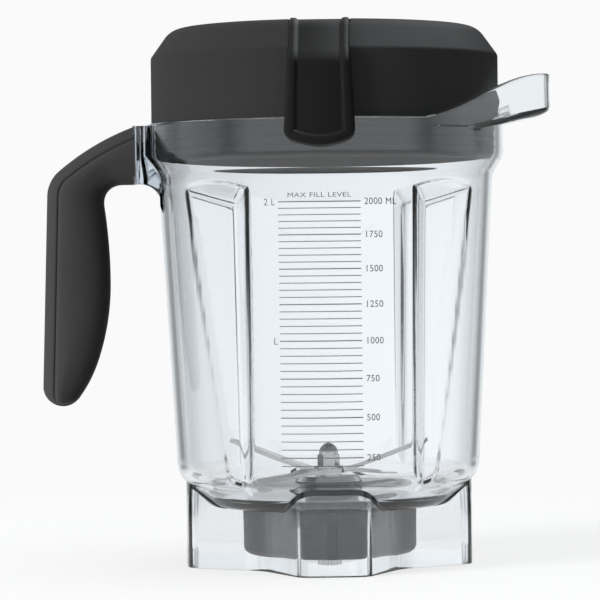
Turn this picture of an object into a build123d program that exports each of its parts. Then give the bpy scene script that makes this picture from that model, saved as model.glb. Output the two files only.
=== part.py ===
from build123d import *
import os
from math import acos, atan2, cos, degrees, hypot, radians, sin, tan

# Two-litre blender jar, in millimetres. The origin is on the jar's axis at the foot,
# +Z is up, +X points to the spout, -X to the handle and -Y to the front with the scale.

# Jar body
base_height = 28.0          # underside of the floor above the foot
floor_thickness = 5.8
wall = 3.1
body_foot_radius = 69.7     # outer wall, carried down to the underside of the floor
body_top_radius = 78.3      # outer wall where the shoulder begins
shoulder_height = 181.8
shoulder_rise = 8.6
shoulder_round = 8.0
bevel_top = 43.0            # the wall turns in at this height
bevel_slope = 45.0
bevel_round = 8.0           # between the bevel and the underside of the floor
foot_round = 11.5           # between the wall and the bevel
rim_flare = 5.1             # rim outside the top of the wall
rim_wall = 3.2
rim_band = 16.1             # rim above the shoulder

# Flutes: angles are taken from the front, for the front right flute
flute_foot = 34.0
flute_top_drop = 9.8        # below the shoulder, where the widths are taken
flute_lip_drop = 3.8        # roof's outer edge below the shoulder
flute_near_top = 27.6
flute_near_foot = 30.7
flute_valley_top = 37.4
flute_valley_foot = 36.3
flute_far_top = 57.0
flute_far_foot = 41.5
flute_depth_top = 8.2
flute_depth_foot = 2.2
flute_roof_slope = 48.0
flute_round = 4.0

# Base skirt with four lobes
skirt_reach = 67.0
skirt_wall = 2.8
lobe_width = 31.2
lobe_bulge = 1.4
lobe_round = 3.0
waist_radius = 46.6
waist_round = 24.0

# Spout
spout_length = 22.6         # beyond the rim
spout_nose = 13.0
spout_rise = 22.1           # tip above the rim
spout_start = 43.0          # where the rim edge begins to rise
spout_rise_run = 20.0
spout_rise_lift = 3.5
spout_tip_run = 23.0
spout_tip_round = 3.0
spout_wall = 1.7
spout_floor = 3.0
spout_slope = 12.6
spout_lip_rise = 3.2        # underside below the nose, above the rim
spout_lip_round = 3.5

# Handle
arm_length = 5.6            # clear arm outside the rim
grip_span = 44.0            # grip, from the arm's end to its back
grip_fullness = 31.6        # grip, back to front, where it is fullest
grip_neck = 27.4
grip_tip_width = 17.2
grip_length = 130.0         # from the arm's top to the tip's end
grip_tip_height = 8.3
tip_low_share = 0.4         # lowest point across the tip, from the back
swell_share = 0.36          # where the front swells out, up from the tip
swell_width_share = 0.58    # and how far out, from the tip to the fullest point
grip_full_drop = 72.7       # fullest point below the arm's top
grip_thickness = 27.0
grip_round = 8.0
knuckle_drop = 25.5
knuckle_lean = 3.0          # knuckle in front of the line of the back
knuckle_bow = 3.0
knuckle_round = 14.0
neck_round = 11.5
arm_step = 0.8              # arm top below the rim top
arm_height = 27.2
arm_thickness = 21.0
core_skin = 5.5             # grip material over the core
core_root = 2.8             # core carried into the arm
arm_web = 7.0               # round between the arm and the wall

# Lid
lid_step = 2.0              # band inside the rim
lid_gap = 0.35
lid_band_height = 30.9      # above the rim
lid_shoulder_round = 3.0
lid_crown_rise = 14.8       # above the band
lid_slope_run = 9.6         # crown inside the band
lid_crown_drop = 1.4
lid_crown_round = 10.0
lid_top_thickness = 4.5
lid_turn = -3.6             # the lid sits a little turned on the jar
seal_skirt_gap = 1.0
seal_skirt_wall = 3.6
seal_skirt_drop = 17.3      # below the rim
seal_skirt_chamfer = 2.0
seal_rib_gap = 0.3
seal_rib_height = 1.6
seal_rib_count = 3
seal_rib_pitch = 4.3
seal_rib_drop = 3.9         # highest rib below the rim

# Lid flaps
flap_top_width = 27.2
flap_bottom_width = 32.4
flap_corner_drop = 9.3      # below the rim
flap_tip_drop = 13.7
flap_corner_round = 4.0
flap_thickness = 3.6
flap_strap = 2.0            # thickness where the strap lies on the lid
flap_gap = 0.4
flap_proud = 0.6            # strap above the crown's edge
flap_border = 4.4
flap_border_top = 3.2
flap_panel_depth = 0.9
flap_panel_drop = 5.9
flap_bend_round = 4.0
flap_strap_run = 11.8       # strap's end inside the crown's edge
flap_hinge_gap = 1.2        # room behind the strap's end as it turns up
far_side = 180.0            # degrees from a flap or a wing to the one opposite

# Lid plug
plug_radius = 27.0
plug_gap = 0.4
plug_wall = 2.2
plug_depth = 26.0
plug_flange_width = 5.0
plug_flange_thickness = 2.4
plug_collar = 14.0
plug_collar_wall = 3.0

# Drive: bearings are 8 x 22 x 7 mm
shaft_radius = 4.0
bearing_radius = 11.0
bearing_width = 7.0
bearing_pitch_radius = 7.5
race_wall = 2.1
ball_radius = 2.0
ball_gap = 0.05
ball_count = 7
fit_gap = 0.02
running_gap = 0.06
head_gap = 0.3
lower_bearing_height = 11.0
upper_bearing_height = 25.0
housing_radius = 13.0
housing_foot = 8.6
housing_head_radius = 16.0
housing_head_top_radius = 14.1
housing_head_top = 39.4
gasket_thickness = 0.8
seal_radius = 9.4
seal_height = 2.9
seal_gap = 0.5             # seal above the turning ring
ring_thickness = 1.0
ring_width = 2.0
ring_groove = 0.6
spline_radius = 5.6
spline_count = 12
spline_depth = 0.9
spline_foot = 3.2

# Retainer nut
nut_radius = 39.7
nut_foot = 6.1
nut_plate = 10.0
nut_wall = 4.4
nut_round = 2.5
nut_slot_width = 4.7
nut_slot_depth = 2.6
nut_slot_count = 4

# Blade
sleeve_radius = 6.0
blade_height = 42.4
blade_thickness = 2.0
blade_hub_radius = 9.5
blade_reach = 46.0
blade_bend_radius = 8.0
blade_root_width = 13.0
blade_tip_width = 8.0
blade_tip_slant = 4.0
raised_wing_angle = -10.0
raised_wing_slope = 21.0
lowered_wing_angle = 42.0
lowered_wing_slope = -8.0
washer_radius = 6.8
washer_thickness = 1.0
blade_nut_width = 9.0       # across flats
blade_nut_hex = 5.6
blade_nut_height = 11.2
blade_nut_thread = 2.5
blade_nut_bore = 8.0

# Heights and radii that follow from the driving sizes
floor_top = base_height + floor_thickness
shoulder_top = shoulder_height + shoulder_rise
flute_top = shoulder_height - flute_top_drop
flute_lip_height = shoulder_height - flute_lip_drop
rim_radius = body_top_radius + rim_flare
rim_inner = rim_radius - rim_wall
rim_height = shoulder_top + rim_band
spout_reach = rim_radius + spout_length
spout_top = rim_height + spout_rise
spout_lip_height = rim_height + spout_lip_rise
grip_start = rim_radius + arm_length
handle_reach = grip_start + grip_span
arm_top = rim_height - arm_step
arm_bottom = arm_top - arm_height
grip_end = arm_top - grip_length
grip_full_height = arm_top - grip_full_drop
lid_radius = rim_radius - lid_step
lid_crown_radius = lid_radius - lid_slope_run
flap_hinge_radius = lid_crown_radius - flap_strap_run
lid_shoulder_height = rim_height + lid_band_height
lid_crown_height = lid_shoulder_height + lid_crown_rise
crown_edge_height = lid_crown_height - lid_crown_drop
seal_skirt_bottom = rim_height - seal_skirt_drop
flap_corner_height = rim_height - flap_corner_drop
flap_tip_height = rim_height - flap_tip_drop
flap_panel_bottom = rim_height - flap_panel_drop
strap_top = crown_edge_height + flap_proud
head_foot = floor_top + gasket_thickness
lower_bearing_top = lower_bearing_height + bearing_width
upper_bearing_top = upper_bearing_height + bearing_width
seal_top = upper_bearing_top + seal_gap + seal_height
blade_top = blade_height + blade_thickness
washer_top = blade_top + washer_thickness


def wall_radius(height):
    """Outer radius of the tapered body at a height."""
    share = (height - base_height) / (shoulder_height - base_height)
    return body_foot_radius + share * (body_top_radius - body_foot_radius)


def from_front(radius, angle, height=0.0):
    """Point at an angle from the front, turning towards the spout."""
    return Vector(radius * sin(radians(angle)), -radius * cos(radians(angle)), height)


def section(points):
    """Closed straight-sided half section, in radius and height."""
    with BuildSketch(Plane.XZ) as profile:
        with BuildLine():
            Polyline(*points, close=True)
        make_face()
    return profile.sketch


def ring_section(inner_radius, outer_radius, bottom, top):
    """Half section of a plain ring."""
    return section(
        [(inner_radius, bottom), (outer_radius, bottom), (outer_radius, top), (inner_radius, top)]
    )


def flute_section(height, skin):
    """Far end, valley and near end of a flute at a height, grown inwards by skin."""
    share = (height - flute_foot) / (flute_top - flute_foot)
    radius = wall_radius(height)
    depth = flute_depth_foot + share * (flute_depth_top - flute_depth_foot)
    far_angle = flute_far_foot + share * (flute_far_top - flute_far_foot)
    near_angle = flute_near_foot + share * (flute_near_top - flute_near_foot)
    valley_angle = flute_valley_foot + share * (flute_valley_top - flute_valley_foot)
    far = from_front(radius, far_angle, height)
    near = from_front(radius, near_angle, height)
    valley = from_front(radius - depth, valley_angle, height)
    to_far = (far - valley).normalized()
    to_near = (near - valley).normalized()
    half_angle = radians(to_far.get_angle(to_near) / 2)
    valley = valley - (to_far + to_near).normalized() * (skin / sin(half_angle))
    mouth = from_front(radius, flute_far_top) - from_front(radius, flute_near_top)
    reach = 2 * flute_depth_top + mouth.length
    return valley + to_far * reach, valley, valley + to_near * reach


def flute_cutter(skin):
    """Solid that one flute takes away, grown by skin for the inside of the wall."""
    mid_angle = (flute_near_top + flute_far_top) / 2
    slope = radians(flute_roof_slope)
    roof_normal = from_front(-sin(slope), mid_angle, cos(slope))
    roof_point = from_front(wall_radius(flute_lip_height), mid_angle, flute_lip_height)
    roof = Plane(origin=roof_point + roof_normal * skin, z_dir=roof_normal)
    with BuildPart() as cutter:
        for height in (base_height - floor_thickness, shoulder_top + flute_depth_top):
            with BuildSketch(Plane.XY.offset(height)):
                with BuildLine():
                    Polyline(*[(p.X, p.Y) for p in flute_section(height, skin)], close=True)
                make_face()
        loft(ruled=True)
        split(bisect_by=roof, keep=Keep.BOTTOM)
        inner_edges = cutter.edges().sort_by_distance((0, 0, flute_lip_height))[:3]
        fillet(inner_edges, flute_round + skin)
    return cutter.part


def four_flutes(skin):
    """The four flutes, mirrored from side to side and from front to back."""
    front_right = flute_cutter(skin)
    front_left = mirror(front_right, about=Plane.YZ)
    return [front_right, front_left] + [mirror(f, about=Plane.XZ) for f in (front_right, front_left)]


def body_section(inset, rim, floor_level, top_level):
    """Half section of the round body, inset from the outer wall."""
    step_angle = atan2(shoulder_rise, rim_radius - body_top_radius)
    lift = inset * tan(radians(45) - step_angle / 2)
    slope = radians(bevel_slope)
    taper = (body_top_radius - body_foot_radius) / (shoulder_height - base_height)
    bevel_level = bevel_top + inset * (1 / sin(slope) - 1) / (1 / tan(slope) - taper)
    bevel_radius = wall_radius(bevel_level) - inset
    with BuildSketch(Plane.XZ) as profile:
        with BuildLine():
            Polyline(
                (0, floor_level),
                (bevel_radius - (bevel_level - floor_level) / tan(slope), floor_level),
                (bevel_radius, bevel_level),
                (body_top_radius - inset, shoulder_height + lift),
                (rim, shoulder_top + lift),
                (rim, top_level),
                (0, top_level),
                close=True,
            )
        make_face()
        corners = profile.vertices().filter_by(lambda v: v.X > inset).group_by(Axis.Y)
        fillet(corners[0], bevel_round - inset)
        fillet(corners[1], foot_round - inset)
        fillet(corners[2], shoulder_round + inset / 2)
        fillet(corners[3], shoulder_round - inset / 2)
    return profile.sketch


# Inside of the jar, where the flutes stand as ribs
inner_body = body_section(wall, rim_inner, floor_top, rim_height + rim_wall)
inner_flutes = four_flutes(wall)
with BuildPart() as cavity:
    revolve(inner_body)
    for flute in inner_flutes:
        add(flute, mode=Mode.SUBTRACT)

# Spout seen from above: the rim circle drawn out to a round nose
nose_centre = spout_reach - spout_nose
spout_angle = degrees(acos((rim_radius - spout_nose) / nose_centre))
mouth_angle = degrees(acos(spout_start / rim_radius))
with BuildSketch() as spout_plan:
    with BuildLine():
        right_rim = CenterArc((0, 0), rim_radius, -mouth_angle, mouth_angle - spout_angle)
        nose = CenterArc((nose_centre, 0), spout_nose, -spout_angle, 2 * spout_angle)
        left_rim = CenterArc((0, 0), rim_radius, spout_angle, mouth_angle - spout_angle)
        Line(right_rim @ 1, nose @ 0)
        Line(nose @ 1, left_rim @ 0)
        Line(left_rim @ 1, right_rim @ 0)
    make_face()

# Spout seen from the side: sloped underside, and the rim edge sweeping up to the tip
spout_fall = tan(radians(spout_slope))
spout_root_height = spout_lip_height - (spout_reach - spout_start) * spout_fall
with BuildSketch(Plane.XZ) as spout_side:
    with BuildLine():
        edge = Bezier(
            (spout_start, rim_height),
            (spout_start + spout_rise_run, rim_height + spout_rise_lift),
            (spout_reach - spout_tip_run, spout_top),
            (spout_reach, spout_top),
        )
        Polyline(
            (spout_reach, spout_top),
            (spout_reach, spout_lip_height),
            (spout_start, spout_root_height),
            (spout_start, rim_height),
        )
    make_face()
    tip_corners = spout_side.vertices().group_by(Axis.X)[-1].sort_by(Axis.Y)
    fillet(tip_corners[0], spout_lip_round)
    fillet(tip_corners[-1], spout_tip_round)

pocket_back = spout_start - rim_wall
pocket_top = spout_top + spout_floor
pocket_side = section(
    [
        (pocket_back, spout_root_height + spout_floor - rim_wall * spout_fall),
        (spout_reach, spout_lip_height + spout_floor),
        (spout_reach, pocket_top),
        (pocket_back, pocket_top),
    ]
)
with BuildPart() as spout_pocket:
    with BuildSketch(Plane.XY.offset(spout_root_height)):
        add(spout_plan.sketch_local)
        offset(amount=-spout_wall)
    extrude(amount=pocket_top)
    extrude(pocket_side, amount=rim_radius, both=True, mode=Mode.INTERSECT)

with BuildPart() as spout:
    with BuildSketch(Plane.XY.offset(spout_root_height)):
        add(spout_plan.sketch_local)
    extrude(amount=spout_top - spout_root_height)
    extrude(spout_side.sketch, amount=rim_radius, both=True, mode=Mode.INTERSECT)
    add(spout_pocket.part, mode=Mode.SUBTRACT)

# Side outline of the grip
grip_back = -handle_reach
grip_front = grip_back + grip_fullness
knuckle = (grip_back + knuckle_lean, arm_top - knuckle_drop)
tip_back = (grip_back, grip_end + grip_tip_height)
tip_front = (grip_back + grip_tip_width, grip_end + grip_tip_height / 2)
neck = (grip_back + grip_neck, arm_bottom)
fullest = (grip_front, grip_full_height)
swell_foot = (
    tip_front[0] + (grip_front - tip_front[0]) * swell_width_share,
    grip_end + (grip_full_height - grip_end) * swell_share,
)
with BuildSketch(Plane.XZ) as grip_side:
    with BuildLine():
        arm_middle = ((knuckle[0] - grip_start) / 2, (knuckle[1] + arm_top) / 2 + knuckle_bow)
        ThreePointArc((-grip_start, arm_top), arm_middle, knuckle)
        Line(knuckle, tip_back)
        ThreePointArc(tip_back, (grip_back + grip_tip_width * tip_low_share, grip_end), tip_front)
        TangentArc(fullest, neck, tangent=(0, 1))
        swell = TangentArc(fullest, swell_foot, tangent=(0, -1))
        TangentArc(swell_foot, tip_front, tangent=swell % 1)
        Polyline(neck, (-grip_start, arm_bottom), (-grip_start, arm_top))
    make_face()
    fillet(grip_side.vertices().sort_by_distance(knuckle)[0], knuckle_round)
    fillet(grip_side.vertices().sort_by_distance(neck)[0], neck_round)

# Core that the grip is moulded over, and the clear arm that carries it
core_thickness = grip_thickness - 2 * core_skin
with BuildSketch(Plane.XZ) as core_side:
    add(grip_side.sketch_local)
    offset(amount=-core_skin)
    with Locations((-grip_start, (arm_top + arm_bottom) / 2)):
        Rectangle(2 * (core_skin + core_root), arm_height - 2 * core_skin)
with BuildPart() as handle_core:
    extrude(core_side.sketch, amount=core_thickness / 2, both=True)

arm_root = body_top_radius - wall
web_root = wall_radius(arm_bottom) - wall / 2
web_height = arm_bottom - arm_web - wall
with BuildSketch(Plane.XZ) as arm_side:
    with BuildLine():
        Polyline(
            (-arm_root, arm_top),
            (-grip_start, arm_top),
            (-grip_start, arm_bottom),
            (-web_root, arm_bottom),
            (-web_root, web_height),
            (-arm_root + wall, web_height),
            close=True,
        )
    make_face()
    fillet(arm_side.vertices().sort_by_distance((-web_root, arm_bottom))[0], arm_web)

# Jar: one clear moulding
outer_body = body_section(0, rim_radius, base_height, rim_height)
outer_flutes = four_flutes(0)
with BuildPart() as jar:
    revolve(outer_body)
    for flute in outer_flutes:
        add(flute, mode=Mode.SUBTRACT)
    with BuildSketch() as skirt_plan:
        with BuildLine():
            corner = skirt_reach - lobe_bulge
            half = lobe_width / 2
            waist = waist_radius * cos(radians(45))
            quarter = [(corner, -half), (skirt_reach, 0), (corner, half), (waist, waist), (half, corner)]
            for turn in range(0, 360, 90):
                start, middle, end, dip, following = [Vector(x, y).rotate(Axis.Z, turn) for x, y in quarter]
                ThreePointArc(start, middle, end)
                Polyline(end, dip, following)
        make_face()
        by_reach = skirt_plan.vertices().group_by(lambda v: round(Vector(v).length, 3))
        fillet(by_reach[-1], lobe_round)
        fillet(by_reach[0], waist_round)
        offset(amount=-skirt_wall, mode=Mode.SUBTRACT)
    extrude(amount=bevel_top)
    extrude(arm_side.sketch, amount=arm_thickness / 2, both=True)
    add(handle_core.part)
    add(spout.part)
    with Locations((0, 0, rim_height)):
        lid_room = lid_radius + lid_gap
        up = (Align.CENTER, Align.CENTER, Align.MIN)
        Cylinder(lid_room, spout_top, align=up, mode=Mode.SUBTRACT)
    add(cavity.part, mode=Mode.SUBTRACT)
    Hole(housing_radius + fit_gap)

# Grip
with BuildPart() as handle_grip:
    extrude(grip_side.sketch, amount=grip_thickness / 2, both=True)
    side_edges = handle_grip.faces().filter_by(Axis.Y).edges()
    open_end = handle_grip.faces().sort_by(Axis.X)[-1].edges()
    fillet(side_edges - open_end, grip_round)
    add(handle_core.part, mode=Mode.SUBTRACT)

# Lid: band on the rim, ribbed seal skirt inside it, domed top with the plug opening
# and a shallow recess for each flap's strap
skirt_outer = rim_inner - seal_skirt_gap
skirt_inner = skirt_outer - seal_skirt_wall
seat_radius = plug_radius + plug_flange_width
seat_height = lid_crown_height - plug_flange_thickness
hole_radius = plug_radius + plug_gap
collar_radius = hole_radius + plug_collar_wall
collar_bottom = lid_crown_height - plug_collar
recess_floor = strap_top - flap_strap - flap_gap
recess_end = flap_hinge_radius - flap_hinge_gap
with BuildPart() as lid:
    with BuildSketch(Plane.XZ) as lid_half:
        with BuildLine():
            Polyline(
                (lid_radius, rim_height),
                (lid_radius, lid_shoulder_height),
                (lid_crown_radius, crown_edge_height),
                (seat_radius + plug_gap, lid_crown_height),
                (seat_radius + plug_gap, seat_height),
                (hole_radius, seat_height),
                (hole_radius, collar_bottom),
                (collar_radius, collar_bottom),
                (collar_radius, seat_height - lid_top_thickness),
                (lid_crown_radius - lid_top_thickness, crown_edge_height - lid_top_thickness),
                (skirt_inner, lid_shoulder_height - lid_top_thickness),
                (skirt_inner, seal_skirt_bottom),
                (skirt_outer - seal_skirt_chamfer, seal_skirt_bottom),
                (skirt_outer, seal_skirt_bottom + seal_skirt_chamfer),
                (skirt_outer, rim_height),
                close=True,
            )
        make_face()
        shoulder = lid_half.vertices().sort_by_distance((lid_radius, lid_shoulder_height))[0]
        fillet(shoulder, lid_shoulder_round)
        crown = lid_half.vertices().sort_by_distance((lid_crown_radius, crown_edge_height))[0]
        fillet(crown, lid_crown_round)
        highest_rib = rim_height - seal_rib_drop
        with Locations(*[(skirt_outer, highest_rib - i * seal_rib_pitch) for i in range(seal_rib_count)]):
            SlotOverall(2 * (seal_skirt_gap - seal_rib_gap), seal_rib_height / 2)
    revolve()
    for turn in (lid_turn, lid_turn + far_side):
        across = Plane(origin=(0, 0, recess_floor), x_dir=from_front(1, turn), z_dir=(0, 0, 1))
        with BuildSketch(across):
            with Locations((recess_end, 0)):
                width = flap_top_width + 2 * flap_gap
                Rectangle(lid_radius - recess_end, width, align=(Align.MIN, Align.CENTER))
        extrude(amount=lid_crown_rise, mode=Mode.SUBTRACT)


def slope_height(radius, lift):
    """Height at a radius on a line that lies lift above the lid's sloping edge."""
    run = lid_radius - lid_crown_radius
    rise = crown_edge_height - lid_shoulder_height
    return lid_shoulder_height + ((lid_radius - radius) * rise + lift * hypot(run, rise)) / run


def slope_radius(height, lift):
    """Radius at which the line lift above the lid's sloping edge reaches a height."""
    run = lid_radius - lid_crown_radius
    rise = crown_edge_height - lid_shoulder_height
    return lid_radius - ((height - lid_shoulder_height) * run - lift * hypot(run, rise)) / rise


def flap_outline(border, border_top, corner_height, tip_height):
    """Outline of a flap seen from the front, or of its sunk panel inside a border."""
    bottom = flap_bottom_width / 2 - border
    upper = flap_top_width / 2 - border_top
    top = strap_top + flap_strap
    with BuildSketch() as outline:
        with BuildLine():
            tongue = ThreePointArc((-bottom, corner_height), (0, tip_height), (bottom, corner_height))
            Polyline(
                tongue @ 1,
                (upper, lid_shoulder_height),
                (upper, top),
                (-upper, top),
                (-upper, lid_shoulder_height),
                tongue @ 0,
            )
        make_face()
        fillet([outline.vertices().sort_by_distance(tongue @ end)[0] for end in (0, 1)], flap_corner_round)
    return outline.sketch


flap_inner = rim_radius + flap_gap
flap_outer = flap_inner + flap_thickness
band_side = lid_radius + flap_gap
strap_lift = flap_gap + flap_strap
strap_foot = strap_top - flap_strap
flap_sweep = degrees(flap_bottom_width / lid_radius)
flap_face = flap_outline(0, 0, flap_corner_height, flap_tip_height)
tongue_drop = flap_corner_height - flap_tip_height
panel_face = flap_outline(flap_border, flap_border_top, flap_panel_bottom + tongue_drop, flap_panel_bottom)

# Half section of all that lies under the sunk panel
panel_outer = flap_outer - flap_panel_depth
panel_lift = strap_lift - flap_panel_depth
panel_top = strap_top - flap_panel_depth
with BuildSketch(Plane.XZ) as panel_bed:
    with BuildLine():
        bed_bend = (panel_outer, slope_height(panel_outer, panel_lift))
        bed_crown = (slope_radius(panel_top, panel_lift), panel_top)
        Polyline((0, 0), (panel_outer, 0), bed_bend, bed_crown, (0, panel_top), close=True)
    make_face()
    fillet(panel_bed.vertices().sort_by_distance(bed_bend)[0], flap_bend_round)
    fillet(panel_bed.vertices().sort_by_distance(bed_crown)[0], lid_crown_round)


def make_flap(turn):
    """Flap whose middle lies at an angle from the front, counted towards the spout."""
    edge_on = Plane(origin=(0, 0, 0), x_dir=from_front(1, turn), z_dir=from_front(1, turn - 90))
    strap_end = from_front(flap_hinge_radius, turn)
    face_on = Plane(origin=strap_end, x_dir=from_front(1, turn + 90), z_dir=from_front(1, turn))
    with BuildPart() as panel:
        with BuildSketch(face_on):
            add(panel_face)
        extrude(amount=2 * flap_outer)
        revolve(panel_bed.sketch, mode=Mode.SUBTRACT)
    with BuildPart() as flap:
        with BuildSketch(edge_on) as flap_half:
            with BuildLine():
                bend = (flap_outer, slope_height(flap_outer, strap_lift))
                outer_crown = (slope_radius(strap_top, strap_lift), strap_top)
                inner_crown = (slope_radius(strap_foot, flap_gap), strap_foot)
                Polyline(
                    inner_crown,
                    (flap_hinge_radius, strap_foot),
                    (flap_hinge_radius, strap_top),
                    outer_crown,
                    bend,
                    (flap_outer, flap_tip_height),
                    (flap_inner, flap_tip_height),
                    (flap_inner, rim_height + flap_gap),
                    (band_side, rim_height + 2 * flap_gap),
                    (band_side, slope_height(band_side, flap_gap)),
                    close=True,
                )
            make_face()
            fillet(flap_half.vertices().sort_by_distance(bend)[0], flap_bend_round)
            fillet(flap_half.vertices().sort_by_distance(outer_crown)[0], lid_crown_round)
        revolve(revolution_arc=flap_sweep)
        mirror(about=edge_on)
        with BuildSketch(face_on):
            add(flap_face)
        extrude(amount=2 * flap_outer, mode=Mode.INTERSECT)
        add(panel.part, mode=Mode.SUBTRACT)
    return flap


front_flap = make_flap(lid_turn)
rear_flap = make_flap(lid_turn + far_side)

# Measuring plug: a clear cup whose flange lies flush in the lid
plug_bottom = lid_crown_height - plug_depth
plug_inner = plug_radius - plug_wall
with BuildPart() as lid_plug:
    revolve(
        section(
            [
                (0, plug_bottom),
                (plug_radius - plug_gap, plug_bottom),
                (plug_radius, seat_height),
                (seat_radius, seat_height),
                (seat_radius, lid_crown_height),
                (plug_inner, lid_crown_height),
                (plug_inner - plug_gap, plug_bottom + plug_wall),
                (0, plug_bottom + plug_wall),
            ]
        )
    )

# Bearing housing with its head on the jar floor
bore_radius = bearing_radius + fit_gap
ring_height = lower_bearing_height - ring_thickness
with BuildPart() as bearing_housing:
    revolve(
        section(
            [
                (housing_radius, housing_foot),
                (housing_radius, head_foot),
                (housing_head_radius, head_foot),
                (housing_head_top_radius, housing_head_top),
                (sleeve_radius + head_gap, housing_head_top),
                (sleeve_radius + head_gap, seal_top),
                (seal_radius, seal_top),
                (seal_radius, upper_bearing_top),
                (bore_radius, upper_bearing_top),
                (bore_radius, housing_foot),
            ]
        )
    )
    groove = ring_section(bore_radius, bore_radius + ring_groove, ring_height, lower_bearing_height)
    revolve(groove, mode=Mode.SUBTRACT)

with BuildPart() as housing_gasket:
    revolve(ring_section(housing_radius + fit_gap, housing_head_radius, floor_top, head_foot))

with BuildPart() as shaft_lip_seal:
    seal_bottom = seal_top - seal_height
    revolve(ring_section(sleeve_radius + running_gap, seal_radius - fit_gap, seal_bottom, seal_top))

with BuildPart() as bearing_retaining_ring:
    ring_outer = bore_radius + ring_groove - fit_gap
    revolve(ring_section(ring_outer - ring_width, ring_outer, ring_height, lower_bearing_height))


def make_bearing(bottom):
    """Outer ring, inner ring and balls of a bearing whose lower face is at a height."""
    top = bottom + bearing_width
    middle = bottom + bearing_width / 2
    with BuildSketch(Plane.XZ) as race:
        with Locations((bearing_pitch_radius, middle)):
            Circle(ball_radius + ball_gap)
    with BuildPart() as outer_ring:
        revolve(ring_section(bearing_radius - race_wall, bearing_radius, bottom, top))
        revolve(race.sketch, mode=Mode.SUBTRACT)
    with BuildPart() as inner_ring:
        revolve(ring_section(shaft_radius + fit_gap, shaft_radius + race_wall, bottom, top))
        revolve(race.sketch, mode=Mode.SUBTRACT)
    with BuildPart() as balls:
        with Locations((0, 0, middle)):
            with PolarLocations(bearing_pitch_radius, ball_count):
                Sphere(ball_radius)
    return outer_ring, inner_ring, balls


lower_outer, lower_inner, lower_balls = make_bearing(lower_bearing_height)
upper_outer, upper_inner, upper_balls = make_bearing(upper_bearing_height)

with BuildPart() as bearing_spacer:
    revolve(ring_section(shaft_radius + fit_gap, sleeve_radius, lower_bearing_top, upper_bearing_height))

with BuildPart() as blade_spacer:
    revolve(ring_section(shaft_radius + fit_gap, sleeve_radius, upper_bearing_top, blade_height))

# Shaft: splined foot, bearing seat, threaded end for the nut
with BuildPart() as drive_shaft:
    with BuildSketch(Plane.XY.offset(spline_foot)):
        Circle(spline_radius)
        with PolarLocations(spline_radius, spline_count):
            Circle(spline_depth, mode=Mode.SUBTRACT)
    extrude(amount=lower_bearing_height - spline_foot)
    with BuildSketch(Plane.XY.offset(lower_bearing_height)):
        Circle(shaft_radius)
    extrude(amount=blade_top - lower_bearing_height)
    with BuildSketch(Plane.XY.offset(blade_top)):
        Circle(blade_nut_thread)
    extrude(amount=washer_thickness + blade_nut_bore)

# Retainer nut: a ring under the floor with wrench slots
with BuildPart() as retainer_nut:
    revolve(
        section(
            [
                (housing_radius + fit_gap, base_height),
                (nut_radius, base_height),
                (nut_radius, nut_foot),
                (nut_radius - nut_wall, nut_foot),
                (nut_radius - nut_wall, base_height - nut_plate),
                (housing_radius + fit_gap, base_height - nut_plate),
            ]
        )
    )
    circles = retainer_nut.edges().filter_by(GeomType.CIRCLE)
    fillet(circles.filter_by(lambda e: e.radius > nut_radius - fit_gap), nut_round)
    with BuildSketch():
        with PolarLocations(nut_radius, nut_slot_count):
            Rectangle(2 * nut_slot_depth, nut_slot_width)
    extrude(amount=base_height, mode=Mode.SUBTRACT)


def add_wing(turn, slope):
    """Wing bent up or down from the hub along an angle about the axis."""
    heading = Vector(1, 0).rotate(Axis.Z, turn)
    along = heading * cos(radians(slope)) + Vector(0, 0, sin(radians(slope)))
    across = Vector(0, 1).rotate(Axis.Z, turn)
    bend = heading * blade_bend_radius + Vector(0, 0, blade_height + blade_thickness / 2)
    length = (blade_reach - blade_bend_radius) / cos(radians(slope))
    with BuildSketch(Plane(origin=bend, x_dir=along, z_dir=along.cross(across))) as wing:
        with BuildLine():
            Polyline(
                (0, -blade_root_width / 2),
                (length - blade_tip_slant, -blade_tip_width / 2),
                (length, blade_tip_width / 2),
                (0, blade_root_width / 2),
                close=True,
            )
        make_face()
    extrude(wing.sketch, amount=blade_thickness / 2, both=True)


# Blade: one stamping
with BuildPart() as blade:
    with BuildSketch(Plane.XY.offset(blade_height)):
        Circle(blade_hub_radius)
    extrude(amount=blade_thickness)
    for turn in (raised_wing_angle, raised_wing_angle + far_side):
        add_wing(turn, raised_wing_slope)
    for turn in (lowered_wing_angle, lowered_wing_angle + far_side):
        add_wing(turn, lowered_wing_slope)
    Hole(shaft_radius + fit_gap)

with BuildPart() as blade_washer:
    revolve(ring_section(blade_nut_thread + fit_gap, washer_radius, blade_top, washer_top))

# Domed nut
nut_top = washer_top + blade_nut_height
with BuildPart() as blade_nut:
    with BuildSketch(Plane.XY.offset(washer_top)):
        RegularPolygon(blade_nut_width / 2, side_count=6, major_radius=False)
    extrude(amount=blade_nut_hex)
    with BuildSketch(Plane.XZ):
        with BuildLine():
            dome_foot = washer_top + blade_nut_hex
            dome_radius = blade_nut_width / 2
            Polyline((dome_radius, dome_foot), (0, dome_foot), (0, nut_top))
            ThreePointArc(
                (0, nut_top),
                (dome_radius * cos(radians(45)), dome_foot + (nut_top - dome_foot) * sin(radians(45))),
                (dome_radius, dome_foot),
            )
        make_face()
    revolve()
    with BuildSketch(Plane.XY.offset(washer_top)):
        Circle(blade_nut_thread + fit_gap)
    extrude(amount=blade_nut_bore, mode=Mode.SUBTRACT)

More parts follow.
